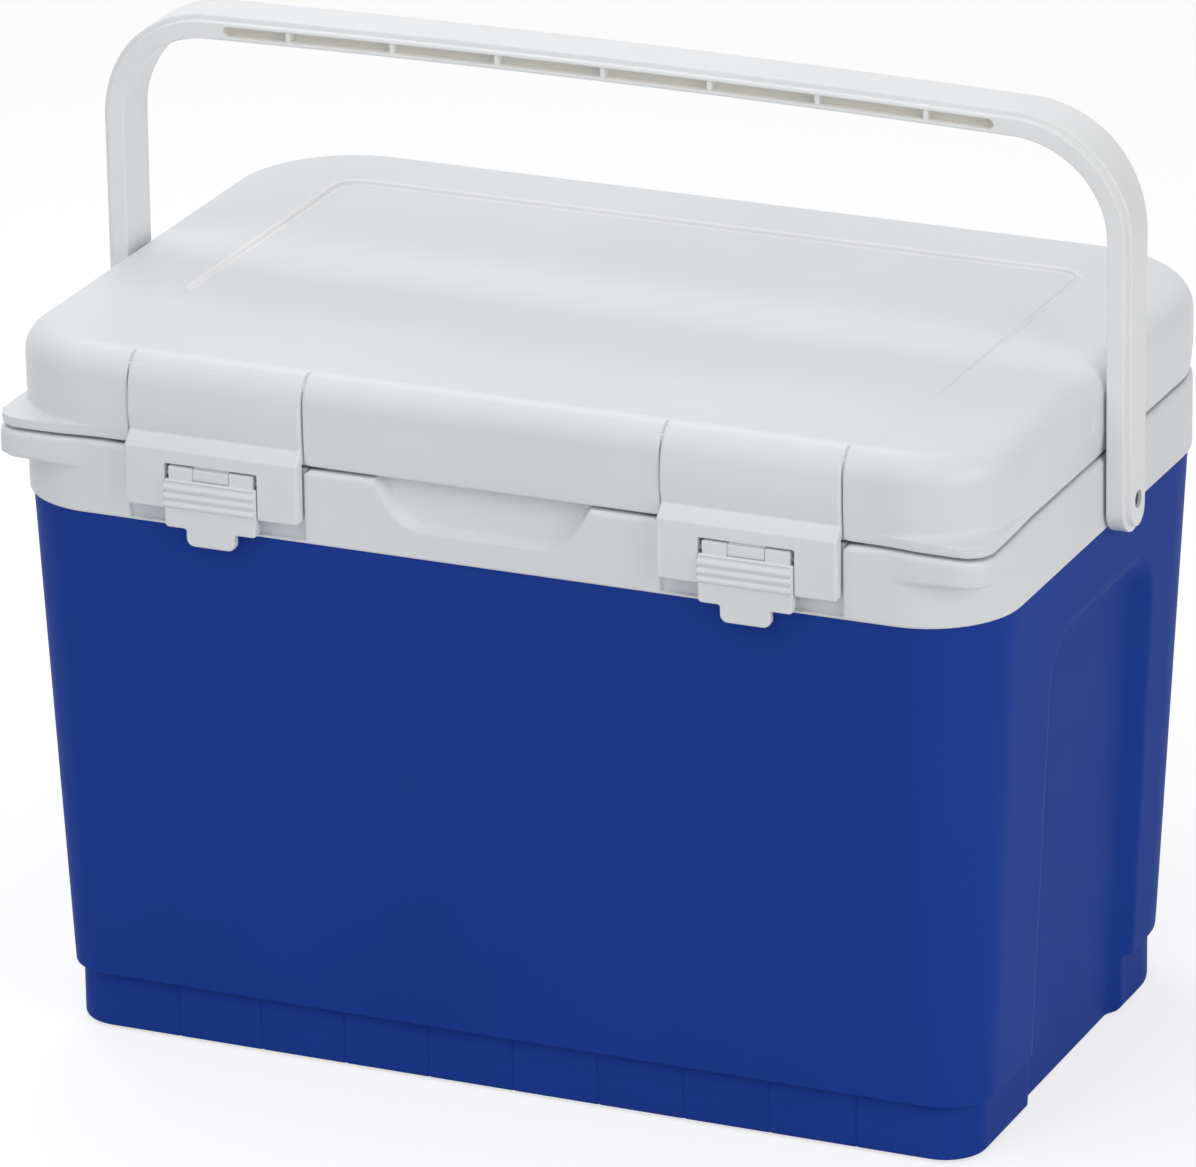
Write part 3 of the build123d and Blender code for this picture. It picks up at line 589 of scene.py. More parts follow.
for z in [COLLAR_BOTTOM - TONGUE_HEIGHT] + steps(245, 205, 5) + [150, 60, INNER_FLOOR]:
    wall = WALL + 1.0 + (BAND_INSET if z < BAND_TOP else 0)
    shell_rows.append(row(inset(shell_plan(z), wall), z, "in"))
shell_rows.append(row(inset(shell_plan(INNER_FLOOR), FLOOR_IN), INNER_FLOOR))


def shell_shape(one, number, point, outward):
    x, y, z = point
    if one["part"] == "band" and outward[1] == -1:
        y += tick_depth(x, z)
    return press_end(x, y, z, WALL if one["part"] == "in" else 0.0), y, z


blue_shell = new_piece("blue_shell", *skin(shell_rows, shell_columns, shell_shape), blue_plastic)
stand_for(blue_shell, "carrier_body", "blue_shell", "outer_shell")

# %% [markdown]
# ## Corner ears
# At the front the lid and the collar stand out into two nearly square corners, which protect the
# latches when the box is set down hard. Each ear is found by walking outwards from the round corner
# until the square outline is reached, so the same rule serves the collar, the lid and any height.

# %% How far the ears stand out, column by column
EAR_SIDE, EAR_FRONT, EAR_ROUND, EAR_BLEND = 1.0, 2.0, 12.0, 22.0
EAR_START_X, EAR_END_Y = BOX[0] / 2 - 52.0, FRONT_Y + 57.0
EAR_MOST, HALVINGS = 25.0, 24


def inside_ear(x, y):
    """True inside the square corner's outline."""
    x = abs(x)
    front = FRONT_Y - EAR_FRONT * min(1, max(0, (x - EAR_START_X) / EAR_BLEND))
    side = BOX[0] / 2 + EAR_SIDE * min(1, max(0, (EAR_END_Y - y) / EAR_BLEND))
    if x > side or y < front:
        return False
    off_x = x - (BOX[0] / 2 + EAR_SIDE - EAR_ROUND)
    off_y = (FRONT_Y - EAR_FRONT + EAR_ROUND) - y
    return not (off_x > 0 and off_y > 0 and math.hypot(off_x, off_y) > EAR_ROUND)


def ear_reach(columns):
    """Distance out to the ear for every column of the outline."""
    reaches = []
    for x, y, nx, ny in ring(BOX, columns):
        low, high = 0.0, EAR_MOST
        if y > EAR_END_Y or abs(x) < EAR_START_X:
            high = 0.0
        for _ in range(HALVINGS):
            middle = (low + high) / 2
            if inside_ear(x + nx * middle, y + ny * middle):
                low = middle
            else:
                high = middle
        reaches.append(low)
    return reaches


# %% Columns that crowd round the latches, the scoop and the hinges
STRAP_HALF = 42.65
POCKET_HALF = STRAP_HALF + 0.6
KEEPER_HALF, KNUCKLE_HALF, KNUCKLE_REACH = 20.0, 20.5, 42.5
EDGE_OFFSETS = (-1.4, -0.8, -0.35, -0.02, 0.0, 0.15, 0.4, 0.8, 1.3, 2.0, 3.0, 4.2)
JUST = (-0.02, 0.02)
pocket_xs = [LATCH_X + side * (POCKET_HALF + off) for side in (-1, 1) for off in EDGE_OFFSETS]
keeper_xs = [LATCH_X + side * (KEEPER_HALF + off) for side in (-1, 1) for off in JUST]
scoop_xs = steps(0, 30, 6) + steps(31, 58, 0.75)
front_xs = both_sides(scoop_xs + steps(64, 80, 8) + pocket_xs + keeper_xs + [LATCH_X, 98, 160])
knuckle_xs = [
    HINGE_X + side * (half + off)
    for side in (-1, 1) for half in (KNUCKLE_HALF, KNUCKLE_HALF + 1, KNUCKLE_REACH) for off in JUST
]
back_xs = both_sides(steps(0, 80, 20) + knuckle_xs + [177])
print("columns in front and behind:", len(front_xs), len(back_xs))

# %% [markdown]
# ## Rim collar
# The white collar closes the foam-filled wall at the top and carries the handle's pins, the hinges and
# the catches. Its section is a closed loop, an outside wall, a deck and a hollow underneath, so the
# rings run right round that loop. The finger scoop is a hollow with a rounded rim: its depth comes
# from the distance to a sloping outline whose lower corners are blended by a smooth minimum.

# %% Rules for the scoop and the latch pockets
SCOOP_HALF_LOW, SCOOP_HALF_TOP, SCOOP_LOW = 38.6, 52.6, 278.2
SCOOP_DEPTH_LOW, SCOOP_DEPTH_TOP, SCOOP_RIM, SCOOP_BLEND = 5.4, 9.0, 2.4, 10.0
POCKET_DEPTH, POCKET_LOW, POCKET_RIM, KEEPER_TOP = 2.5, 266.0, 1.3, 270.5
CORNER_ROUND, KNUCKLE_ROOM, NO_LIMIT = 4.0, 7, 1000.0


def scoop_depth(x, z):
    """Depth of the finger scoop behind the collar's front face."""
    share = (z - SCOOP_LOW) / (COLLAR_TOP - SCOOP_LOW)
    spread = SCOOP_HALF_TOP - SCOOP_HALF_LOW
    lean = math.hypot(1, spread / (COLLAR_TOP - SCOOP_LOW))
    from_side = (SCOOP_HALF_LOW + spread * share - abs(x)) / lean
    from_low = z - SCOOP_LOW
    mix = max(SCOOP_BLEND - abs(from_side - from_low), 0) / SCOOP_BLEND
    away = min(from_side, from_low) - mix * mix * SCOOP_BLEND / 4
    full = SCOOP_DEPTH_LOW + (SCOOP_DEPTH_TOP - SCOOP_DEPTH_LOW) * min(1, max(0, share))
    return full * ease((away + 0.8) / SCOOP_RIM)


def latch_offset(x):
    """Distance outside the nearest latch pocket, negative inside it."""
    return abs(abs(x) - LATCH_X) - POCKET_HALF


def corner_lift(x):
    """How far the corner beside a latch is rounded off, seen from the front."""
    off = latch_offset(x)
    return round_over(off, CORNER_ROUND) if off > 0 else 0.0


def collar_pocket(x, z):
    """Depth of the latch pocket in the collar, with rounded upright edges."""
    on_keeper = abs(abs(x) - LATCH_X) < KEEPER_HALF and z < KEEPER_TOP + 0.03
    if z < POCKET_LOW + 0.03 or on_keeper:
        return 0.0
    off = latch_offset(x)
    return POCKET_DEPTH if off <= 0 else round_over(off, POCKET_RIM)


def hinge_relief(x, z, low, high):
    """Furthest back that a wall may reach beside the round knuckles of the other moulding."""
    off = abs(abs(x) - HINGE_X)
    if not low < off < high or abs(z - HINGE_Z) > KNUCKLE_ROOM:
        return NO_LIMIT
    return HINGE_Y - math.sqrt(KNUCKLE_ROOM ** 2 - (z - HINGE_Z) ** 2)


print("scoop depth under the lid, mm:", round(scoop_depth(0, COLLAR_TOP), 2))

# %% Rings and shape of the collar
BOTTOM_EDGE, TOP_EDGE, LOOP_IN, DECK_IN = 1.2, 2.5, 5, 9.2
HOUSING_LOW, FLANGE_DROP, MOUTH_DROP = 275.2, 2, 5
EAR_RISE = (
    (284.2, 0.02), (285.2, 0.16), (286.0, 0.42), (286.6, 0.72), (287.2, 0.9), (288.0, 0.98),
    (289.0, 1.0),
    *((z, 1.0) for z in (290.5, 292, 293.5, 295, 296.2, COLLAR_TOP - TOP_EDGE)),
)
collar_columns = (front_xs, steps(-98, 84, 9), back_xs)
collar_ears = ear_reach(collar_columns)
print("furthest reach of an ear, mm:", round(max(collar_ears), 2))
collar_rows = [row(inset(BOX, LOOP_IN), COLLAR_BOTTOM, "in")]
collar_rows += edge_rows(BOX, COLLAR_BOTTOM, BOTTOM_EDGE, 30)
levels = [POCKET_LOW, POCKET_LOW + 0.06, 268, KEEPER_TOP, KEEPER_TOP + 0.06, 273.5]
collar_rows += [row(BOX, z) for z in levels + steps(276.5, 283, 0.65)]
collar_rows += [row(BOX, z, ear=ear) for z, ear in EAR_RISE]
for drop, off in quarter(TOP_EDGE, 22.5)[1:]:
    collar_rows.append(row(inset(BOX, off), COLLAR_TOP - drop, ear=1.0))
flange, mouth = (428.0, 259.0, 36.0, 36.0), (412.6, 243.6, 28.3, 28.3)
collar_rows += [
    row(inset(BOX, DECK_IN), COLLAR_TOP, "deck"),
    row(flange, COLLAR_TOP, "in"),
    row(flange, COLLAR_TOP - FLANGE_DROP, "in"),
    row(mouth, COLLAR_TOP - FLANGE_DROP, "in"),
    row(mouth, COLLAR_TOP - MOUTH_DROP, "in"),
    row(inset(BOX, LOOP_IN), COLLAR_TOP - MOUTH_DROP, "housing"),
    row(inset(BOX, LOOP_IN), HOUSING_LOW, "housing"),
    row(inset(BOX, LOOP_IN), HOUSING_LOW - 0.6, "in"),
]


def collar_shape(one, number, point, outward):
    (x, y, z), (nx, ny), part = point, outward, one["part"]
    if part == "housing" and ny == -1 and abs(x) < SCOOP_HALF_TOP + 4:
        y = FRONT_Y + SCOOP_DEPTH_TOP + 3
    if part not in ("out", "deck"):
        return x, y, z
    grow = one["ear"] * collar_ears[number]
    x, y = x + nx * grow, y + ny * grow
    if ny == -1:
        y = max(y, FRONT_Y + collar_pocket(x, z))
        if abs(x) < SCOOP_HALF_TOP + 2 and z > SCOOP_LOW - 2:
            y = max(y, FRONT_Y + scoop_depth(x, z))
        if part == "out":
            z = min(z, COLLAR_TOP - corner_lift(x))
    if ny == 1:
        y = min(y, hinge_relief(x, z, -1, KNUCKLE_HALF + 1))
    return x, y, z


collar_skin = skin(collar_rows, collar_columns, collar_shape, loop=True)
collar = new_piece("white_rim_collar", *collar_skin, collar_plastic)
stand_for(collar, "carrier_body", "white_collar", "rim_collar")

# %% [markdown]
# ## Lid
# The lid is a shallow tray turned over, with one large round edge, a panel sunk into its top and a
# cut-out for each latch strap. The rings go up the wall, over the round edge and inwards across the
# top. The cut-outs follow the wall's own direction, so they keep one depth round the edge. A bead and
# a groove run round the panel; along its back and left side they get a lighter white, a painted
# highlight.

# %% Rules for the lid's hollows, mm
LID_EDGE, LID_POCKET, STRAP_END = 13.5, 5.0, 40.0
EDGE_Z, EDGE_Y = LID_TOP - LID_EDGE, FRONT_Y + LID_EDGE
SEAM_DEPTH, SEAM_RUN = 1.5, 7.0
PANEL = (371.8, 213.2, 12.0, 12.0)
PANEL_SINK, PANEL_GROOVE = 1.3, 0.45
NUB_Z, NUB_Y, NUB_RADIUS, NUB_FLAT, NUB_HEIGHT = 319.0, 22.0, 5.5, 2.5, 1.1
BULGE_TOP, BULGE_SPAN, BULGE = 318.0, 17.0, 1.5


def lid_pocket(x, along):
    """Depth of the cut-out for a strap; along is the distance up past the strap's top end."""
    side = latch_offset(x)
    away = outside(side, along)
    pocket = LID_POCKET if away <= 0 else round_over(away, POCKET_RIM)
    seam = SEAM_DEPTH * (1 - ease(abs(side + 0.3))) * (1 - ease((along - SEAM_RUN) / 2.0))
    return max(pocket, seam) if along > 0 else pocket


def belly(z):
    """How far the lid's wall leans back in towards its lower edge."""
    return BULGE * (max(0.0, BULGE_TOP - z) / BULGE_SPAN) ** 2


def nub_height(y, z):
    """Low round button that a leg of the handle rides over."""
    away = math.hypot(abs(y) - NUB_Y, z - NUB_Z)
    return NUB_HEIGHT * (1 - ease((away - NUB_FLAT) / (NUB_RADIUS - NUB_FLAT)))


print("strap cut-out in the lid, mm deep:", lid_pocket(LATCH_X, -1))

# %% Rings and shape of the lid
LID_WALL, TRAY_DROP, NUB_FROM = 3, 5, 310
EAR_FALL = (
    (303.4, 1.0), (305.0, 1.0), (305.9, 0.985), (306.4, 0.93), (306.6, 0.82), (306.8, 0.4),
    (307.3, 0.17), (308.3, 0.04), (309.6, 0.0),
)
# Each ring of the panel's edge: distance outside it, share of the sink, share of the groove.
PANEL_EDGE = (
    (3.0, 0, 0), (2.4, 0, -0.5), (1.8, 0, -1.1), (1.2, 0, -1.35), (0.7, 0, -1.0), (0.3, 0.1, -0.2),
    (0.0, 0.35, 0.35), (-0.3, 0.7, 0.85), (-0.7, 1.0, 1.0), (-1.1, 1.0, 0.8), (-1.6, 1.0, 0.25),
    (-2.2, 1.0, 0), (-8, 1.0, 0), (-80, 1.0, 0),
)
nub_ys = [side * (NUB_Y + off) for side in (-1, 1) for off in steps(-6, 6, 1)]
side_ys = sorted(steps(-98, -34, 8) + nub_ys + steps(-12, 12, 6) + steps(34, 84, 10))
lid_columns = (front_xs, side_ys, back_xs)
lid_ears = ear_reach(lid_columns)
lid_rows = [
    row(inset(BOX, 100), LID_TOP - TRAY_DROP, "in"),
    row(inset(BOX, LID_WALL), LID_TOP - TRAY_DROP, "in"),
    row(inset(BOX, LID_WALL), LID_BOTTOM, "in"),
]
lid_rows += edge_rows(BOX, LID_BOTTOM, BOTTOM_EDGE, 30, ear=1.0)
lid_rows += [row(BOX, z, ear=ear) for z, ear in EAR_FALL]
lid_rows += [row(BOX, z) for z in steps(312.5, 325.5, 1) + [EDGE_Z]]
end_turns = [STRAP_END + off for off in (1.0, 1.04, 1.7, 2.7, 4.2, 6.2)]
for degrees in steps(0, 36, 6)[1:] + end_turns + [52, 58, 64, 70, 76, 83, 90]:
    angle = math.radians(degrees)
    plan = inset(BOX, LID_EDGE * (1 - math.cos(angle)))
    lid_rows.append(row(plan, EDGE_Z + LID_EDGE * math.sin(angle), tilt=angle))
lid_rows += [row(inset(BOX, distance), LID_TOP, "in") for distance in (17, 24)]
for grow, sink, groove in PANEL_EDGE:
    lid_rows.append(row(inset(PANEL, -grow), LID_TOP, "panel", sink=sink, groove=groove))


def lid_shape(one, number, point, outward):
    (x, y, z), (nx, ny), part, tilt = point, outward, one["part"], one["tilt"]
    if part == "panel":
        share = (y + PANEL[1] / 2) / PANEL[1]
        drop = one["sink"] * PANEL_SINK * share + one["groove"] * PANEL_GROOVE * ease(share / 0.3)
        return x, y, z - drop
    if part == "in":
        return x, y, z
    grow = one["ear"] * lid_ears[number] - belly(z)
    if abs(nx) == 1 and z > NUB_FROM:
        grow += nub_height(y, z)
    x, y = x + nx * grow, y + ny * grow
    if ny == -1:
        along = LID_EDGE * (tilt - math.radians(STRAP_END + 1.02))
        if z < EDGE_Z:
            along = z - EDGE_Z - 9
        depth = lid_pocket(x, along)
        y, z = y + depth * math.cos(tilt), z - depth * math.sin(tilt)
        if z < LID_BOTTOM + CORNER_ROUND:
            z = max(z, LID_BOTTOM + corner_lift(x))
    if ny == 1:
        y = min(y, hinge_relief(x, z, KNUCKLE_HALF, KNUCKLE_REACH))
    return x, y, z


lid = new_piece("white_lid_moulding", *skin(lid_rows, lid_columns, lid_shape), lid_plastic)

# %% Painted highlight along the panel's back and left edges
RUBBED_OUT, RUBBED_IN, RUBBED_FRONT_Y, RUBBED_BACK_Y = 2.7, 2.2, -60.0, 98.0


# Faces of the panel's bead and groove at the back and the back of the left side, painted lighter as a
# highlight.
def is_rubbed(x, y, z, up):
    corner = PANEL[2]
    away = outside(abs(x) - (PANEL[0] / 2 - corner), abs(y) - (PANEL[1] / 2 - corner)) - corner
    on_edge = -RUBBED_IN < away < RUBBED_OUT and z > LID_TOP - 4 and up > 0.5
    return on_edge and (y > RUBBED_BACK_Y or (x < 0 and y > RUBBED_FRONT_Y))


paint_faces(lid, rubbed_plastic, is_rubbed)
stand_for(lid, "lid", "white_lid", "lid_shell")

# %% [markdown]
# ## Hinge knuckles
# Behind the box two hinges join the lid to the collar. A hinge is a row of short tubes on one pin: the
# outer two belong to the collar and the middle one to the lid. Each is a turned profile, so its ends
# get a rounded rim.

# %% Knuckles
KNUCKLE_RADIUS = 6.5


def barrel(x_low, x_high, y, z, radius, rim=0.8, around=32):
    """Closed round bar along X with rounded rims, as points and faces."""
    ends = ((0, rim), (rim * 0.3, rim * 0.3), (rim, 0))
    stations = [(x_low + along, radius - off) for along, off in ends]
    stations += [(x_high - along, radius - off) for along, off in ends[::-1]]
    turns = [360 * k / around for k in range(around)]
    points = [(x, *place) for x, size in stations for place in arc(y, z, size, turns)]
    return points, ring_faces(len(stations), around)


def knuckle_set(name, spans, material):
    """One piece with the same row of barrels at both hinges."""
    points, faces = [], []
    for x in (-HINGE_X, HINGE_X):
        for low, high in spans:
            more_points, more_faces = barrel(x + low, x + high, HINGE_Y, HINGE_Z, KNUCKLE_RADIUS)
            faces += [tuple(len(points) + v for v in face) for face in more_faces]
            points += more_points
    return new_piece(name, points, faces, material)


collar_knuckles = knuckle_set("collar_knuckles", [(-42, -21.5), (21.5, 42)], collar_plastic)
stand_for(collar_knuckles, "carrier_body", "white_collar")
lid_knuckles = knuckle_set("lid_knuckles", [(-21, 21)], lid_plastic)
stand_for(lid_knuckles, "lid", "white_lid")

# %% [markdown]
# ## Latch straps
# A strap hangs from a round barrel under the lid's edge, follows that edge down, steps forward over
# the collar and carries the pull tab in a window. Its side view never changes, so it is drawn once as
# a closed line with rounded corners and carried along X. Both ends are drawn slightly smaller, which
# rounds the rims, and a Boolean opens the window.

# %% Lines with rounded corners
CORNER_STEPS = 4


def rounded_line(corners):
    """Closed line through (u, v, radius) corners, each rounded by its radius."""
    line = []
    for k, (u, v, radius) in enumerate(corners):
        if not radius:
            line.append((u, v))
            continue
        here = Vector((u, v))
        before = (Vector(corners[k - 1][:2]) - here).normalized()
        after = (Vector(corners[(k + 1) % len(corners)][:2]) - here).normalized()
        half = before.angle(after) / 2
        back_off = radius / math.tan(half)
        middle = here + (before + after).normalized() * (radius / math.sin(half))
        first, last = here + before * back_off - middle, here + after * back_off - middle
        for step in range(CORNER_STEPS + 1):
            spoke = first.lerp(last, step / CORNER_STEPS).normalized() * radius
            line.append(tuple(middle + spoke))
    return line


def shrunk(line, distance):
    """The same closed line, moved inwards by a distance."""
    area = sum(a[0] * b[1] - b[0] * a[1] for a, b in zip(line, line[1:] + line[:1]))
    turn_in = 1 if area > 0 else -1
    moved = []
    for k, point in enumerate(line):
        before = (Vector(point) - Vector(line[k - 1])).normalized()
        after = (Vector(line[(k + 1) % len(line)]) - Vector(point)).normalized()
        across = Vector((-before.y, before.x)) * turn_in
        normal = Vector((-before.y - after.y, before.x + after.x)) * turn_in
        if normal.length < 1e-6:
            normal = across.copy()
        normal.normalize()
        lean = max(0.5, normal.dot(across))
        moved.append((point[0] + normal.x * distance / lean, point[1] + normal.y * distance / lean))
    return moved


print("points on a rounded corner:", CORNER_STEPS + 1)


# %% Bodies to join and to cut with the Boolean modifier
def raw_object(points, faces):
    """Plain closed object from points in mm, for use in a Boolean."""
    mesh = mesh_of("raw", points, faces)
    shape = merged(mesh)
    bmesh.ops.recalc_face_normals(shape, faces=shape.faces)
    stored(shape, mesh)
    return linked("raw", mesh)


def along_x(u, v, w):
    return w, u, v


def along_y(u, v, w):
    return u, w, v


def drawn_out(line, low, high, low_rim, high_rim, place):
    """Body that carries a closed line from low to high, with a rounded rim at both ends."""
    stations = [(low + along, smaller) for smaller, along in quarter(low_rim, 30)]
    stations += [(high - along, smaller) for smaller, along in quarter(high_rim, 30)[::-1]]
    points = []
    for w, smaller in stations:
        outline = shrunk(line, smaller) if smaller > 1e-6 else line
        points += [place(u, v, w) for u, v in outline]
    return raw_object(points, ring_faces(len(stations), len(line)))


def soft_block(x_range, y_range, z_range, radius, rim):
    """Block rounded seen from the front by radius and round its front and back rims by rim."""
    (x0, x1), (z0, z1) = x_range, z_range
    line = rounded_line([(x, z, radius) for x, z in ((x0, z0), (x1, z0), (x1, z1), (x0, z1))])
    return drawn_out(line, *y_range, rim, rim, along_y)


def evaluated(made):
    """Plain mesh of an object with its modifiers applied; the object is then removed."""
    view = bpy.context.evaluated_depsgraph_get()
    mesh = bpy.data.meshes.new_from_object(made.evaluated_get(view))
    bpy.data.objects.remove(made)
    return mesh


def combined(start, others, operation):
    """Mesh of one object united with, or cut by, the others; all of them are then removed."""
    for other in others:
        cut = start.modifiers.new(operation, "BOOLEAN")
        cut.operation, cut.solver, cut.object = operation, "EXACT", other
    mesh = evaluated(start)
    for other in others:
        bpy.data.objects.remove(other)
    return mesh


def dissolved(shape, degrees):
    """Joins the faces of an editable mesh that are flat to one another within an angle."""
    flat = math.radians(degrees)
    bmesh.ops.dissolve_limit(shape, angle_limit=flat, verts=shape.verts, edges=shape.edges)


def soften_edges(mesh, chosen, width):
    """Rounds the sharp edges of a mesh whose two ends both pass a test on their place in mm."""
    shape = merged(mesh)
    dissolved(shape, 0.02)
    sharp = [
        edge for edge in shape.edges
        if len(edge.link_faces) == 2 and edge.calc_face_angle(0) > math.radians(35)
        and all(chosen(*[c / MM for c in vert.co]) for vert in edge.verts)
    ]
    if sharp:
        rounding = {"offset": width * MM, "segments": 2, "profile": 0.5, "clamp_overlap": True}
        bmesh.ops.bevel(shape, geom=sharp, affect="EDGES", **rounding)
    stored(shape, mesh)
    print("edges rounded:", len(sharp))


# %% Side view of a strap, mm
STRAP_FRONT, STRAP_BACK, STRAP_SKIN = -161.4, -153.9, 4.5
STEP_TOP, STEP_LOW, STRAP_LOW = 308.2, 302.6, 274.5
BARREL_Y, BARREL_Z, BARREL_RADIUS = -147.595, 334.621, 6.0
WINDOW_HALF, WINDOW_TOP = 22.9, 296.3
PIN_Y, PIN_Z, PIN_BLOCK = -157.9, 291.2, 3.15
NOTCH, MIDDLE_HALF = 1.5, 8.75
STRAP_TOP = EDGE_Z + LID_EDGE * math.sin(math.radians(STRAP_END))
# How far the strap stands proud of the lid's wall: share of the way down, distance.
SWELL = (
    (0.0, 0.0), (0.1, 0.12), (0.2, 0.45), (0.3, 0.9), (0.45, 1.5), (0.6, 1.75), (0.75, 1.55),
    (0.9, 0.9), (1.0, 0.3),
)


def swell(z):
    """How far the strap stands proud of the lid's wall, most of it low down."""
    share = (STRAP_TOP - z) / (STRAP_TOP - STEP_TOP)
    for (a, low), (b, high) in zip(SWELL, SWELL[1:]):
        if share <= b:
            return low + (high - low) * max(0.0, (share - a) / (b - a))
    return SWELL[-1][1]


strap_line = rounded_line([
    (STRAP_BACK, STRAP_LOW, 1.3), (STRAP_FRONT, STRAP_LOW, 1.4), (STRAP_FRONT, STEP_LOW, 1.4),
    (FRONT_Y - swell(STEP_TOP), STEP_TOP, 1.5), (FRONT_Y, EDGE_Z, 0), (STRAP_BACK, EDGE_Z, 0),
])[:-2]
strap_line += [(FRONT_Y - swell(z), z) for z in (311, 314, 317, 320, 323, 326)]
lid_edge = arc(0, EDGE_Z, LID_EDGE, steps(0, STRAP_END, 4))
strap_line += [(EDGE_Y - off - swell(z), z) for off, z in lid_edge]
strap_line += arc(BARREL_Y, BARREL_Z, BARREL_RADIUS, steps(140, -122.9, 14)[1:])
strap_line += [(FRONT_Y + STRAP_SKIN, 304.85), (STRAP_BACK, 301.05)]
print("points in the strap's side view:", len(strap_line))


def pin_block(top, corner, notch=0.0):
    """Side view of a hinge block: round about the pin, flat in front, square or notched on top."""
    low, high = PIN_Y - PIN_BLOCK, PIN_Y + PIN_BLOCK
    above = [(low, PIN_Z, 0)]
    if notch:
        above += [(low, WINDOW_TOP - notch, 0.5), (low + notch, WINDOW_TOP - notch, 0.3)]
    above += [(low + notch, top, corner), (high, top, corner), (high, PIN_Z, 0)]
    return arc(PIN_Y, PIN_Z, PIN_BLOCK, steps(0, -180, 15)) + rounded_line(above)[1:-1]


# %% Straps
for side, x in SIDES:
    whole = drawn_out(strap_line, x - STRAP_HALF, x + STRAP_HALF, 1.3, 1.6, along_x)
    window = soft_block((x - WINDOW_HALF, x + WINDOW_HALF), (-170, -149), (260, WINDOW_TOP), 0.8, 0.1)
    opened = combined(whole, [window], "DIFFERENCE")

    def on_window_rim(px, py, pz):
        return abs(px - x) < WINDOW_HALF + 0.1 and pz < WINDOW_TOP + 0.1 and py < STRAP_FRONT + 1.5

    soften_edges(opened, on_window_rim, 0.55)
    middle = pin_block(WINDOW_TOP + 1.5, 0.3, NOTCH)
    knuckle = drawn_out(middle, x - MIDDLE_HALF, x + MIDDLE_HALF, 0.25, 0.25, along_x)
    strap_mesh = combined(linked("raw", opened), [knuckle], "UNION")
    strap = finish_piece(f"{side}_strap", strap_mesh, latch_plastic)
    stand_for(strap, f"{side}_latch", "white_latch", f"{side}_latch_strap")

# %% [markdown]
# ## Pull tabs
# The tab hooks the strap on the collar and is flipped up with a finger. Seen from the front it is a
# plate with a narrower tongue below, three grip ridges across it and two round-backed knuckles above.
# The ridges are the kind of thing Geometry Nodes do well: one oval bar is set out as often as the
# tree's inputs ask, so another pitch or count is one number.

# %% A helper for geometry trees
SOCKETS = {int: "Int", float: "Float", tuple: "Vector"}


def new_tree(name, inputs):
    """Geometry tree with named inputs, each a default value or a kind; a finish comes last."""
    tree = bpy.data.node_groups.new(name, "GeometryNodeTree")
    for label, value in {"Geometry": "Geometry", **inputs, "Finish": "Material"}.items():
        kind = "NodeSocket" + SOCKETS.get(type(value), str(value))
        socket = tree.interface.new_socket(label, in_out="INPUT", socket_type=kind)
        if type(value) in SOCKETS:
            socket.default_value = value
    tree.interface.new_socket("Geometry", in_out="OUTPUT", socket_type="NodeSocketGeometry")
    make = node_maker(tree)
    return tree, make, make("NodeGroupInput").outputs


def end_tree(make, given, geometry):
    """Ends a tree: real geometry in the chosen finish."""
    real = make("GeometryNodeRealizeInstances", {0: geometry})
    painted = make("GeometryNodeSetMaterial", {"Geometry": real, "Material": given["Finish"]})
    make("NodeGroupOutput", {0: painted})


def copies(make, points, part):
    return make("GeometryNodeInstanceOnPoints", {"Points": points, "Instance": part})


def grown(tree, values, base=None):
    """Plain mesh that a geometry tree makes from its named input values."""
    holder = linked("growing", base or bpy.data.meshes.new("growing"))
    modifier = holder.modifiers.new("growing", "NODES")
    modifier.node_group = tree
    for item in tree.interface.items_tree:
        if item.name in values:
            modifier[item.identifier] = values[item.name]
    return evaluated(holder)


# %% Ridges by Geometry Nodes
ridge_tree, make, given = new_tree("grip_ridges", {
    "Count": 3, "Pitch": 0.004, "Length": 0.045, "Height": 0.0036, "Depth": 0.0036, "Top bar": (0, 0, 0),
})


def scaled(socket, factor):
    return make("ShaderNodeMath", {0: socket, 1: factor}, operation="MULTIPLY")


end_points = [make("ShaderNodeCombineXYZ", {0: scaled(given["Length"], half)}) for half in (-0.5, 0.5)]
bar_line = make("GeometryNodeCurvePrimitiveLine", {"Start": end_points[0], "End": end_points[1]})
section = make("GeometryNodeCurvePrimitiveCircle", mode="RADIUS")
section.inputs["Resolution"].default_value = 20
section.inputs["Radius"].default_value = 0.5
bar = make("GeometryNodeCurveToMesh", {"Curve": bar_line, "Profile Curve": section, "Fill Caps": True})
sizes = make("ShaderNodeCombineXYZ", {0: 1.0, 1: given["Depth"], 2: given["Height"]})
squeezed = make("GeometryNodeTransform", {"Geometry": bar, "Scale": sizes})
places = make("GeometryNodeMeshLine", {
    "Count": given["Count"], "Start Location": given["Top bar"],
    "Offset": make("ShaderNodeCombineXYZ", {2: scaled(given["Pitch"], -1)}),
})
end_tree(make, given, copies(make, places, squeezed))
print("nodes in the ridge tree:", len(ridge_tree.nodes))

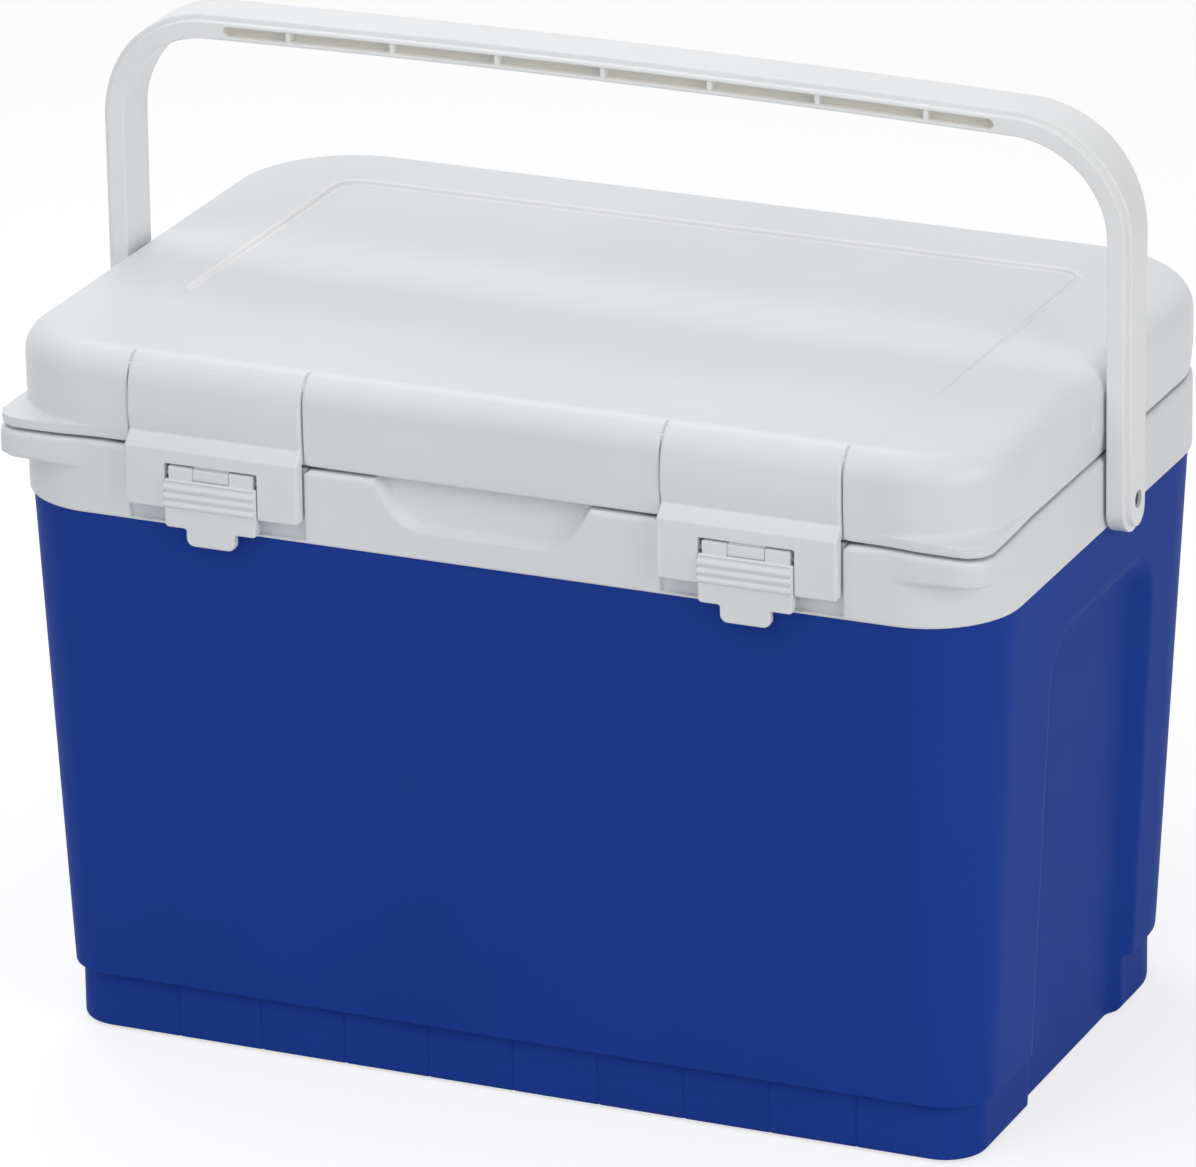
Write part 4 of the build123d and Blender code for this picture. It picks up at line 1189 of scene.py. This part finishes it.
# %% Pull tabs
PLATE_FRONT, PLATE_BACK, TONGUE_HALF, PLATE_HALF = -162.65, -158.65, 12, 22.5
PLATE_TOP, PLATE_LOW, TONGUE_LOW = 289.2, 266.5, 258.5
LIP_HALF, LIP_BACK, LIP_LOW, LIP_TOP = 15, -155.9, 266.9, 271.0
EAR_TOP, EAR_SPANS = 295.2, ((-21.0, -8.95), (8.95, 21.0))
WEB_Y, WEB_Z, WEB_SPANS = (-161.0, -158.9), (284.5, 291.0), ((-20.8, -9.1), (9.1, 20.8))
RIDGE_Y, RIDGE_Z = -161.85, 285.5
for side, x in SIDES:
    half_view = [
        (TONGUE_HALF, TONGUE_LOW, 3.6), (TONGUE_HALF, PLATE_LOW, 1.2), (PLATE_HALF, PLATE_LOW, 1.8),
        (PLATE_HALF, PLATE_TOP, 0.7),
    ]
    front_view = [(x - u, z, radius) for u, z, radius in half_view[2::-1]]
    front_view += [(x + u, z, radius) for u, z, radius in half_view]
    front_view.append((x - PLATE_HALF, PLATE_TOP, 0.7))
    plate = drawn_out(rounded_line(front_view), PLATE_FRONT, PLATE_BACK, 0.9, 0.5, along_y)
    lip_x, lip_y = (x - LIP_HALF, x + LIP_HALF), (PLATE_BACK - 0.6, LIP_BACK)
    lip = soft_block(lip_x, lip_y, (LIP_LOW, LIP_TOP), 0.5, 0.3)
    cradle = raw_object(*barrel(x - 24, x + 24, PIN_Y, PIN_Z, PIN_BLOCK + 0.25, 0.1, 48))
    hollowed = linked("raw", combined(plate, [cradle], "DIFFERENCE"))
    ears = [drawn_out(pin_block(EAR_TOP, 1.2), x + a, x + b, 0.5, 0.5, along_x) for a, b in EAR_SPANS]
    webs = [soft_block((x + a, x + b), WEB_Y, WEB_Z, 0.3, 0.2) for a, b in WEB_SPANS]
    ridges = grown(ridge_tree, {
        "Count": 3, "Pitch": 4.0 * MM, "Length": 44.6 * MM, "Height": 3.5 * MM, "Depth": 4.0 * MM,
        "Top bar": (x * MM, RIDGE_Y * MM, RIDGE_Z * MM), "Finish": latch_plastic,
    })
    tab_mesh = combined(hollowed, [lip] + webs + ears + [linked("raw", ridges)], "UNION")
    tab = finish_piece(f"{side}_pull_tab", tab_mesh, latch_plastic)
    stand_for(tab, f"{side}_lever", "white_latch", f"{side}_latch_lever")

# %% [markdown]
# ## Carrying handle
# The handle is one long bail: a broad inner band with a raised rib along its outside. It widens from
# the pivots to the grip and its legs end in half rounds. Its shape follows a path, so Geometry Nodes
# sweep a chamfered section along the arch and then a rule of height sets the width. The band and the
# rib are the same tree with other inputs; a Boolean then joins them, opens the finger slot in the
# front of the grip and bores the pivots.

# %% Path of the arch, mm
LEG_IN, BEND_RADIUS = 241.5, 45.0
BEND_X, BEND_Z, BEND_TOP = 196.5, 401.8, 446.8
CROWN = 2.4
PIVOT_Z, LEG_END_Z = 278.5, 275.0
BAND, HANDLE_THICK, RIB_NARROWER, OVERLAP = 8.6, 11.2, 3.0, 1
GRIP_HALF, SHOULDER_HALF, LEG_HALF = 15.5, 13.2, 12.0
GRIP_Z, SHOULDER_Z = 445.0, 415.0


def arch_height(x, offset):
    """Height of the arch over the grip, at a distance outside the handle's inner face."""
    radius = (BEND_X ** 2 + CROWN ** 2) / (2 * CROWN)
    return BEND_TOP + offset + CROWN - radius + math.sqrt(radius ** 2 - x * x)


def above_arch(x, z):
    """Height over the grip's inner face."""
    return z - arch_height(min(abs(x), BEND_X), 0)


def arch_path(offset, end_half, spacing):
    """Points from one leg's end over the grip to the other's."""
    leg = LEG_IN + offset
    half = [(leg, LEG_END_Z - end_half * math.cos(math.radians(a))) for a in steps(4, 90, 9)]
    half += [(leg, z) for z in steps(300, 380, 2.7 * spacing)]
    half += arc(BEND_X, BEND_Z, BEND_RADIUS + offset, steps(0, 90, spacing / 3.2))
    half += [(x, arch_height(x, offset)) for x in steps(BEND_X, 0, spacing)[1:]]
    return [(-x, z) for x, z in half] + [(x, z) for x, z in half[::-1]][1:]


print("top of the handle, mm:", round(arch_height(0, HANDLE_THICK), 1))

# %% Sweep tree: section along a path, width by height
sweep_tree, make, given = new_tree("arch_sweep", {
    "Thickness": 0.0086, "Grip half width": 0.0155, "Shoulder half width": 0.0132,
    "Leg half width": 0.012, "Chamfer": 0.0008,
})
grip_half, shoulder_half, leg_half = (
    given[part + " half width"] for part in ("Grip", "Shoulder", "Leg")
)


def sums(kind, *values):
    """Math node on sockets, nodes or numbers."""
    return make("ShaderNodeMath", dict(enumerate(values)), operation=kind)


def blend_over(value, low, high, at_low, at_high):
    """Result that goes from one value to another while a measure goes from low to high."""
    span = {"From Min": low * MM, "From Max": high * MM, "To Min": at_low, "To Max": at_high}
    return make("ShaderNodeMapRange", {"Value": value, **span})


to_curve = make("GeometryNodeMeshToCurve", {0: given["Geometry"]})
upright = make("GeometryNodeSetCurveNormal", {"Curve": to_curve}, mode="FREE")
upright.inputs["Normal"].default_value = (0, 1, 0)
section = make("GeometryNodeCurvePrimitiveQuadrilateral", {
    "Width": sums("MULTIPLY", grip_half, 2), "Height": given["Thickness"],
})
rounded = make("GeometryNodeFilletCurve", {"Curve": section, "Radius": given["Chamfer"]}, mode="POLY")
rounded.inputs["Count"].default_value = 3
sweep = make("GeometryNodeCurveToMesh", {"Curve": upright, "Profile Curve": rounded, "Fill Caps": True})
across, sideways, height = make("ShaderNodeSeparateXYZ", {0: make("GeometryNodeInputPosition")}).outputs
upper = blend_over(height, SHOULDER_Z, GRIP_Z, shoulder_half, grip_half)
lower = blend_over(height, LEG_END_Z, SHOULDER_Z, leg_half, shoulder_half)
is_grip = sums("GREATER_THAN", height, SHOULDER_Z * MM)
width = make("ShaderNodeMix", {"Factor": is_grip, "A": lower, "B": upper})
below = sums("MAXIMUM", sums("SUBTRACT", LEG_END_Z * MM, height), 0.0)
share = sums("MINIMUM", sums("DIVIDE", below, leg_half), 1.0)
end_round = sums("SQRT", sums("SUBTRACT", 1.0, sums("MULTIPLY", share, share)))
widen = sums("MULTIPLY", sums("DIVIDE", width, grip_half), end_round)
moved = make("ShaderNodeCombineXYZ", {0: across, 1: sums("MULTIPLY", sideways, widen), 2: height})
end_tree(make, given, make("GeometryNodeSetPosition", {"Geometry": sweep, "Position": moved}))
print("nodes in the sweep tree:", len(sweep_tree.nodes))


def swept(offset, thickness, narrow, spacing):
    """Closed raw object of one layer of the handle."""
    path = arch_path(offset, LEG_HALF - narrow, spacing)
    links = [(k, k + 1) for k in range(len(path) - 1)]
    line = mesh_of("arch", [(x, 0, z) for x, z in path], edges=links)
    mesh = grown(sweep_tree, {
        "Thickness": thickness * MM, "Grip half width": (GRIP_HALF - narrow) * MM,
        "Shoulder half width": (SHOULDER_HALF - narrow) * MM, "Leg half width": (LEG_HALF - narrow) * MM,
        "Chamfer": 1.1 * MM, "Finish": handle_plastic,
    }, line)
    shape = merged(mesh)
    bmesh.ops.recalc_face_normals(shape, faces=shape.faces)
    print("layer", round(thickness, 1), "mm thick:", stored(shape, mesh), "open edges")
    return linked("raw", mesh)


# %% Join the layers, open the slot and bore the pivots
SLOT_HALF, SLOT_LOW, SLOT_HIGH, SLOT_DEPTH = 188.5, 2.0, 6.6, 5.5
BORE_RADIUS, BORE_REACH = 4.15, (238, 256)
slot_radius, slot_middle = (SLOT_HIGH - SLOT_LOW) / 2, (SLOT_LOW + SLOT_HIGH) / 2
slot_end = SLOT_HALF - slot_radius
slot_run = steps(-slot_end, slot_end, 12)
slot_line = [(x, arch_height(x, SLOT_LOW)) for x in slot_run]
slot_line += arc(slot_end, arch_height(slot_end, slot_middle), slot_radius, steps(-90, 90, 20)[1:-1])
slot_line += [(x, arch_height(x, SLOT_HIGH)) for x in slot_run[::-1]]
slot_line += arc(-slot_end, arch_height(slot_end, slot_middle), slot_radius, steps(90, 270, 20)[1:-1])
slot_cutter = drawn_out(slot_line, -GRIP_HALF - 3, -GRIP_HALF + SLOT_DEPTH, 0.1, 0.4, along_y)
pivot_bores = [
    raw_object(*barrel(*sorted(s * reach for reach in BORE_REACH), 0, PIVOT_Z, BORE_RADIUS, 0.1))
    for s in (-1, 1)
]
slotted = linked("raw", combined(swept(BAND / 2, BAND, 0, 16), [slot_cutter], "DIFFERENCE"))
rib_thick = HANDLE_THICK - BAND + OVERLAP
outer_rib = swept((BAND - OVERLAP + HANDLE_THICK) / 2, rib_thick, RIB_NARROWER, 12.7)
solid = combined(slotted, [outer_rib], "UNION")
shape = merged(solid)
bmesh.ops.triangulate(shape, faces=shape.faces)
print("joined layers:", stored(shape, solid), "open edges")
bored = combined(linked("raw", solid), pivot_bores, "DIFFERENCE")


def on_slot_rim(x, y, z):
    """True on the slot's rim in the grip's front."""
    near = y < -GRIP_HALF + 0.05 and abs(x) < SLOT_HALF + 0.1
    return near and SLOT_LOW - 0.1 < above_arch(x, z) < SLOT_HIGH + 0.1


def in_slot(x, y, z, up):
    """True for a face inside the slot."""
    within = abs(x) < SLOT_HALF and -GRIP_HALF + 0.55 < y < -GRIP_HALF + SLOT_DEPTH + 0.1
    return within and SLOT_LOW - 0.2 < above_arch(x, z) < SLOT_HIGH + 0.2


soften_edges(bored, on_slot_rim, 0.5)
handle = finish_piece("carrying_handle", bored, handle_plastic)
# The slot's inside faces get the warm off-white of painted bounce light.
paint_faces(handle, slot_plastic, in_slot)
stand_for(handle, "handle", "white_handle", "handle_legs", "handle_bends", "handle_grip")

# %% [markdown]
# ### Ribs in the slot
# Thin ribs stiffen the open side of the grip. They repeat at one pitch along the arch, so a small tree
# sets a block on every point of a line that already follows the crown.

# %% Slot ribs by Geometry Nodes
RIB_PITCH, RIB_BACK, RIB_WIDTH, RIB_ROOT = 52.0, 0.9, 2.4, 0.5
rib_tree, make, given = new_tree("slot_ribs", {"Block size": (0.0024, 0.008, 0.0052)})
block = make("GeometryNodeMeshCube", {"Size": given["Block size"]})
end_tree(make, given, copies(make, given["Geometry"], block))
rib_depth = SLOT_DEPTH - RIB_BACK + RIB_ROOT
rib_y = -GRIP_HALF + RIB_BACK + rib_depth / 2
rib_points = mesh_of("rib_points", [
    (n * RIB_PITCH, rib_y, arch_height(n * RIB_PITCH, slot_middle)) for n in range(-3, 4)
])
rib_size = (RIB_WIDTH * MM, rib_depth * MM, (SLOT_HIGH - SLOT_LOW + 0.6) * MM)
rib_mesh = grown(rib_tree, {"Block size": rib_size, "Finish": handle_plastic}, rib_points)
ribs = finish_piece("grip_slot_ribs", rib_mesh, handle_plastic)
edge_round = ribs.modifiers.new("rib_edges", "BEVEL")
edge_round.width, edge_round.segments = 0.5 * MM, 2
stand_for(ribs, "handle", "white_handle")

# %% [markdown]
# ## Ice packs, caps and foot pads
# Four ice packs stand in the box, each a flat blown bottle with a panel pressed into both faces and a
# screw cap. One pack, one cap and one pad are shaped, and a small tree sets them out on points; a
# second tree sets rods round a circle for the cap's grip. Moving a point moves the part with it.

# %% Trees that set parts out on points
set_tree, make, given = new_tree("set_out", {"Part": "Object"})
part = make("GeometryNodeObjectInfo", {"Object": given["Part"]}).outputs["Geometry"]
end_tree(make, given, copies(make, given["Geometry"], part))

knurl_tree, make, given = new_tree("knurls", {
    "Count": 24, "Radius": 0.01, "Rod radius": 0.0008, "Height": 0.007,
})
circle = make("GeometryNodeMeshCircle", {"Vertices": given["Count"], "Radius": given["Radius"]})
rod = make("GeometryNodeMeshCylinder", {
    "Vertices": 10, "Radius": given["Rod radius"], "Depth": given["Height"],
})
one_ring = make("GeometryNodeRealizeInstances", {0: copies(make, circle, rod)})
end_tree(make, given, copies(make, given["Geometry"], one_ring))
print("nodes in the two trees:", len(set_tree.nodes), len(knurl_tree.nodes))


def corner_points(x, y, z):
    """Mesh of four points, one in each quarter."""
    return mesh_of("corner_points", [(sx * x, sy * y, z) for sx in (-1, 1) for sy in (-1, 1)])


def turned(high, radius, rim):
    """Upright round disc with rounded rims, as a raw object on the origin."""
    points, faces = barrel(0, high, 0, 0, radius, rim, 48)
    return raw_object([(b, c, a) for a, b, c in points], faces)


def set_out(name, part, points, finish):
    """Piece made of copies of a raw object on every point; the raw object is removed."""
    mesh = grown(set_tree, {"Part": part, "Finish": finish}, points)
    bpy.data.objects.remove(part)
    return finish_piece(name, mesh, finish)


# %% One ice pack
PACK, PACK_X, PACK_Y = (178.0, 30.0, 6.0, 6.0), 91.5, 95.7
PACK_LOW, PACK_HIGH, PACK_EDGE = 40.5, 212.5, 4.0
PRESS_HALF, PRESS_MARGIN, PRESS, PRESS_SHOULDER = 74.0, 14.0, 1.8, 5.0
height = PACK_HIGH - PACK_LOW
pack_xs = steps(-80, -68, 2) + steps(-56, 56, 14) + steps(68, 80, 2)
levels = steps(8, 22, 2) + steps(36, height - 36, 20) + steps(height - 22, height - 8, 2)
pack_rows = edge_rows(PACK, 0, PACK_EDGE, 22.5)
pack_rows += [row(PACK, z) for z in levels]
pack_rows += [row(one["plan"], height - one["z"]) for one in edge_rows(PACK, 0, PACK_EDGE, 22.5)[::-1]]


def pack_shape(one, number, point, outward):
    x, y, z = point
    if abs(outward[1]) == 1:
        away = min(PRESS_HALF - abs(x), z - PRESS_MARGIN, height - PRESS_MARGIN - z)
        y -= outward[1] * PRESS * ease(away / PRESS_SHOULDER)
    return x, y, z


one_pack = raw_object(*skin(pack_rows, (pack_xs, [-6.0, 6.0], pack_xs), pack_shape))
packs = set_out("ice_pack_bottles", one_pack, corner_points(PACK_X, PACK_Y, PACK_LOW), ice_plastic)
stand_for(packs, "carrier_body", "pack_body", "ice_packs")

# %% Caps and pads
CAP_HEIGHT, CAP_RADIUS, KNURL_COUNT, KNURL_RADIUS = 9.0, 10.3, 28, 0.7
PAD_HEIGHT, PAD_RADIUS, PAD_X, PAD_Y = 4.0, 9.0, 193.65, 100.65
cap_places = corner_points(PACK_X, PACK_Y, PACK_HIGH)
caps = set_out("ice_pack_screw_caps", turned(CAP_HEIGHT, CAP_RADIUS, 1.0), cap_places, cap_plastic)
stand_for(caps, "carrier_body", "pack_cap", "ice_pack_caps")
knurl_mesh = grown(knurl_tree, {
    "Count": KNURL_COUNT, "Radius": CAP_RADIUS * MM, "Rod radius": KNURL_RADIUS * MM,
    "Height": (CAP_HEIGHT - 2) * MM, "Finish": cap_plastic,
}, corner_points(PACK_X, PACK_Y, PACK_HIGH + CAP_HEIGHT / 2))
stand_for(finish_piece("cap_knurls", knurl_mesh, cap_plastic), "carrier_body", "pack_cap")
one_pad, pad_places = turned(PAD_HEIGHT, PAD_RADIUS, 0.8), corner_points(PAD_X, PAD_Y, 0)
pads = set_out("rubber_foot_pads", one_pad, pad_places, pad_rubber)
stand_for(pads, "carrier_body", "pad", "foot_pads")

# %% [markdown]
# ## Pieces whose solid is already the right shape
# The liners only need softer edges, as every moulded edge has. A copy of the node's mesh is merged,
# its coplanar triangles are dissolved into clean faces, and a Bevel modifier rounds what is sharp.
# Weighted normals keep the flat faces flat. The copy then stands for the node. The foam, the seal and
# the pins keep their own mesh and get a finish.


# %% Softened liners
SOFT_RADIUS, SOFT_ANGLE = 0.5, 28.0


def softened(node, name, material):
    """Copy of a CAD node with its sharp edges rounded."""
    mesh = nodes[node].data.copy()
    mesh.name = name
    shape = merged(mesh, MERGE / 2)
    dissolved(shape, 0.5)
    for face in shape.faces:
        face.smooth = True
    stored(shape, mesh)
    if mesh.attributes.get("custom_normal"):
        mesh.attributes.remove(mesh.attributes["custom_normal"])
    mesh.materials.clear()
    mesh.materials.append(material)
    piece = linked(name, mesh)
    bevel = piece.modifiers.new("rounded_edges", "BEVEL")
    bevel.width, bevel.segments = SOFT_RADIUS * MM, 2
    bevel.limit_method, bevel.angle_limit = "ANGLE", math.radians(SOFT_ANGLE)
    flat = piece.modifiers.new("flat_faces", "WEIGHTED_NORMAL")
    flat.keep_sharp, flat.weight = True, 60
    print(name, len(mesh.polygons), "faces before rounding")
    return piece


for node_name, body in (("lid_liner", "lid"), ("inner_liner", "carrier_body")):
    piece = softened(node_name, f"{node_name}_dressed", liner_plastic)
    stand_for(piece, body, "white_liner", node_name)

# %% Finishes for the nodes that keep their mesh
for node_name, material in (
    ("shell_foam", foam), ("lid_foam", foam), ("lid_gasket", seal_rubber), ("hinge_pins", steel),
    ("latch_pins", steel), ("left_lever_pin", dark_steel), ("right_lever_pin", dark_steel),
    ("handle_pins", pin_plastic),
):
    node = nodes[node_name]
    node.data.materials.clear()
    node.data.materials.append(material)
    print(node_name, "in", material.name)
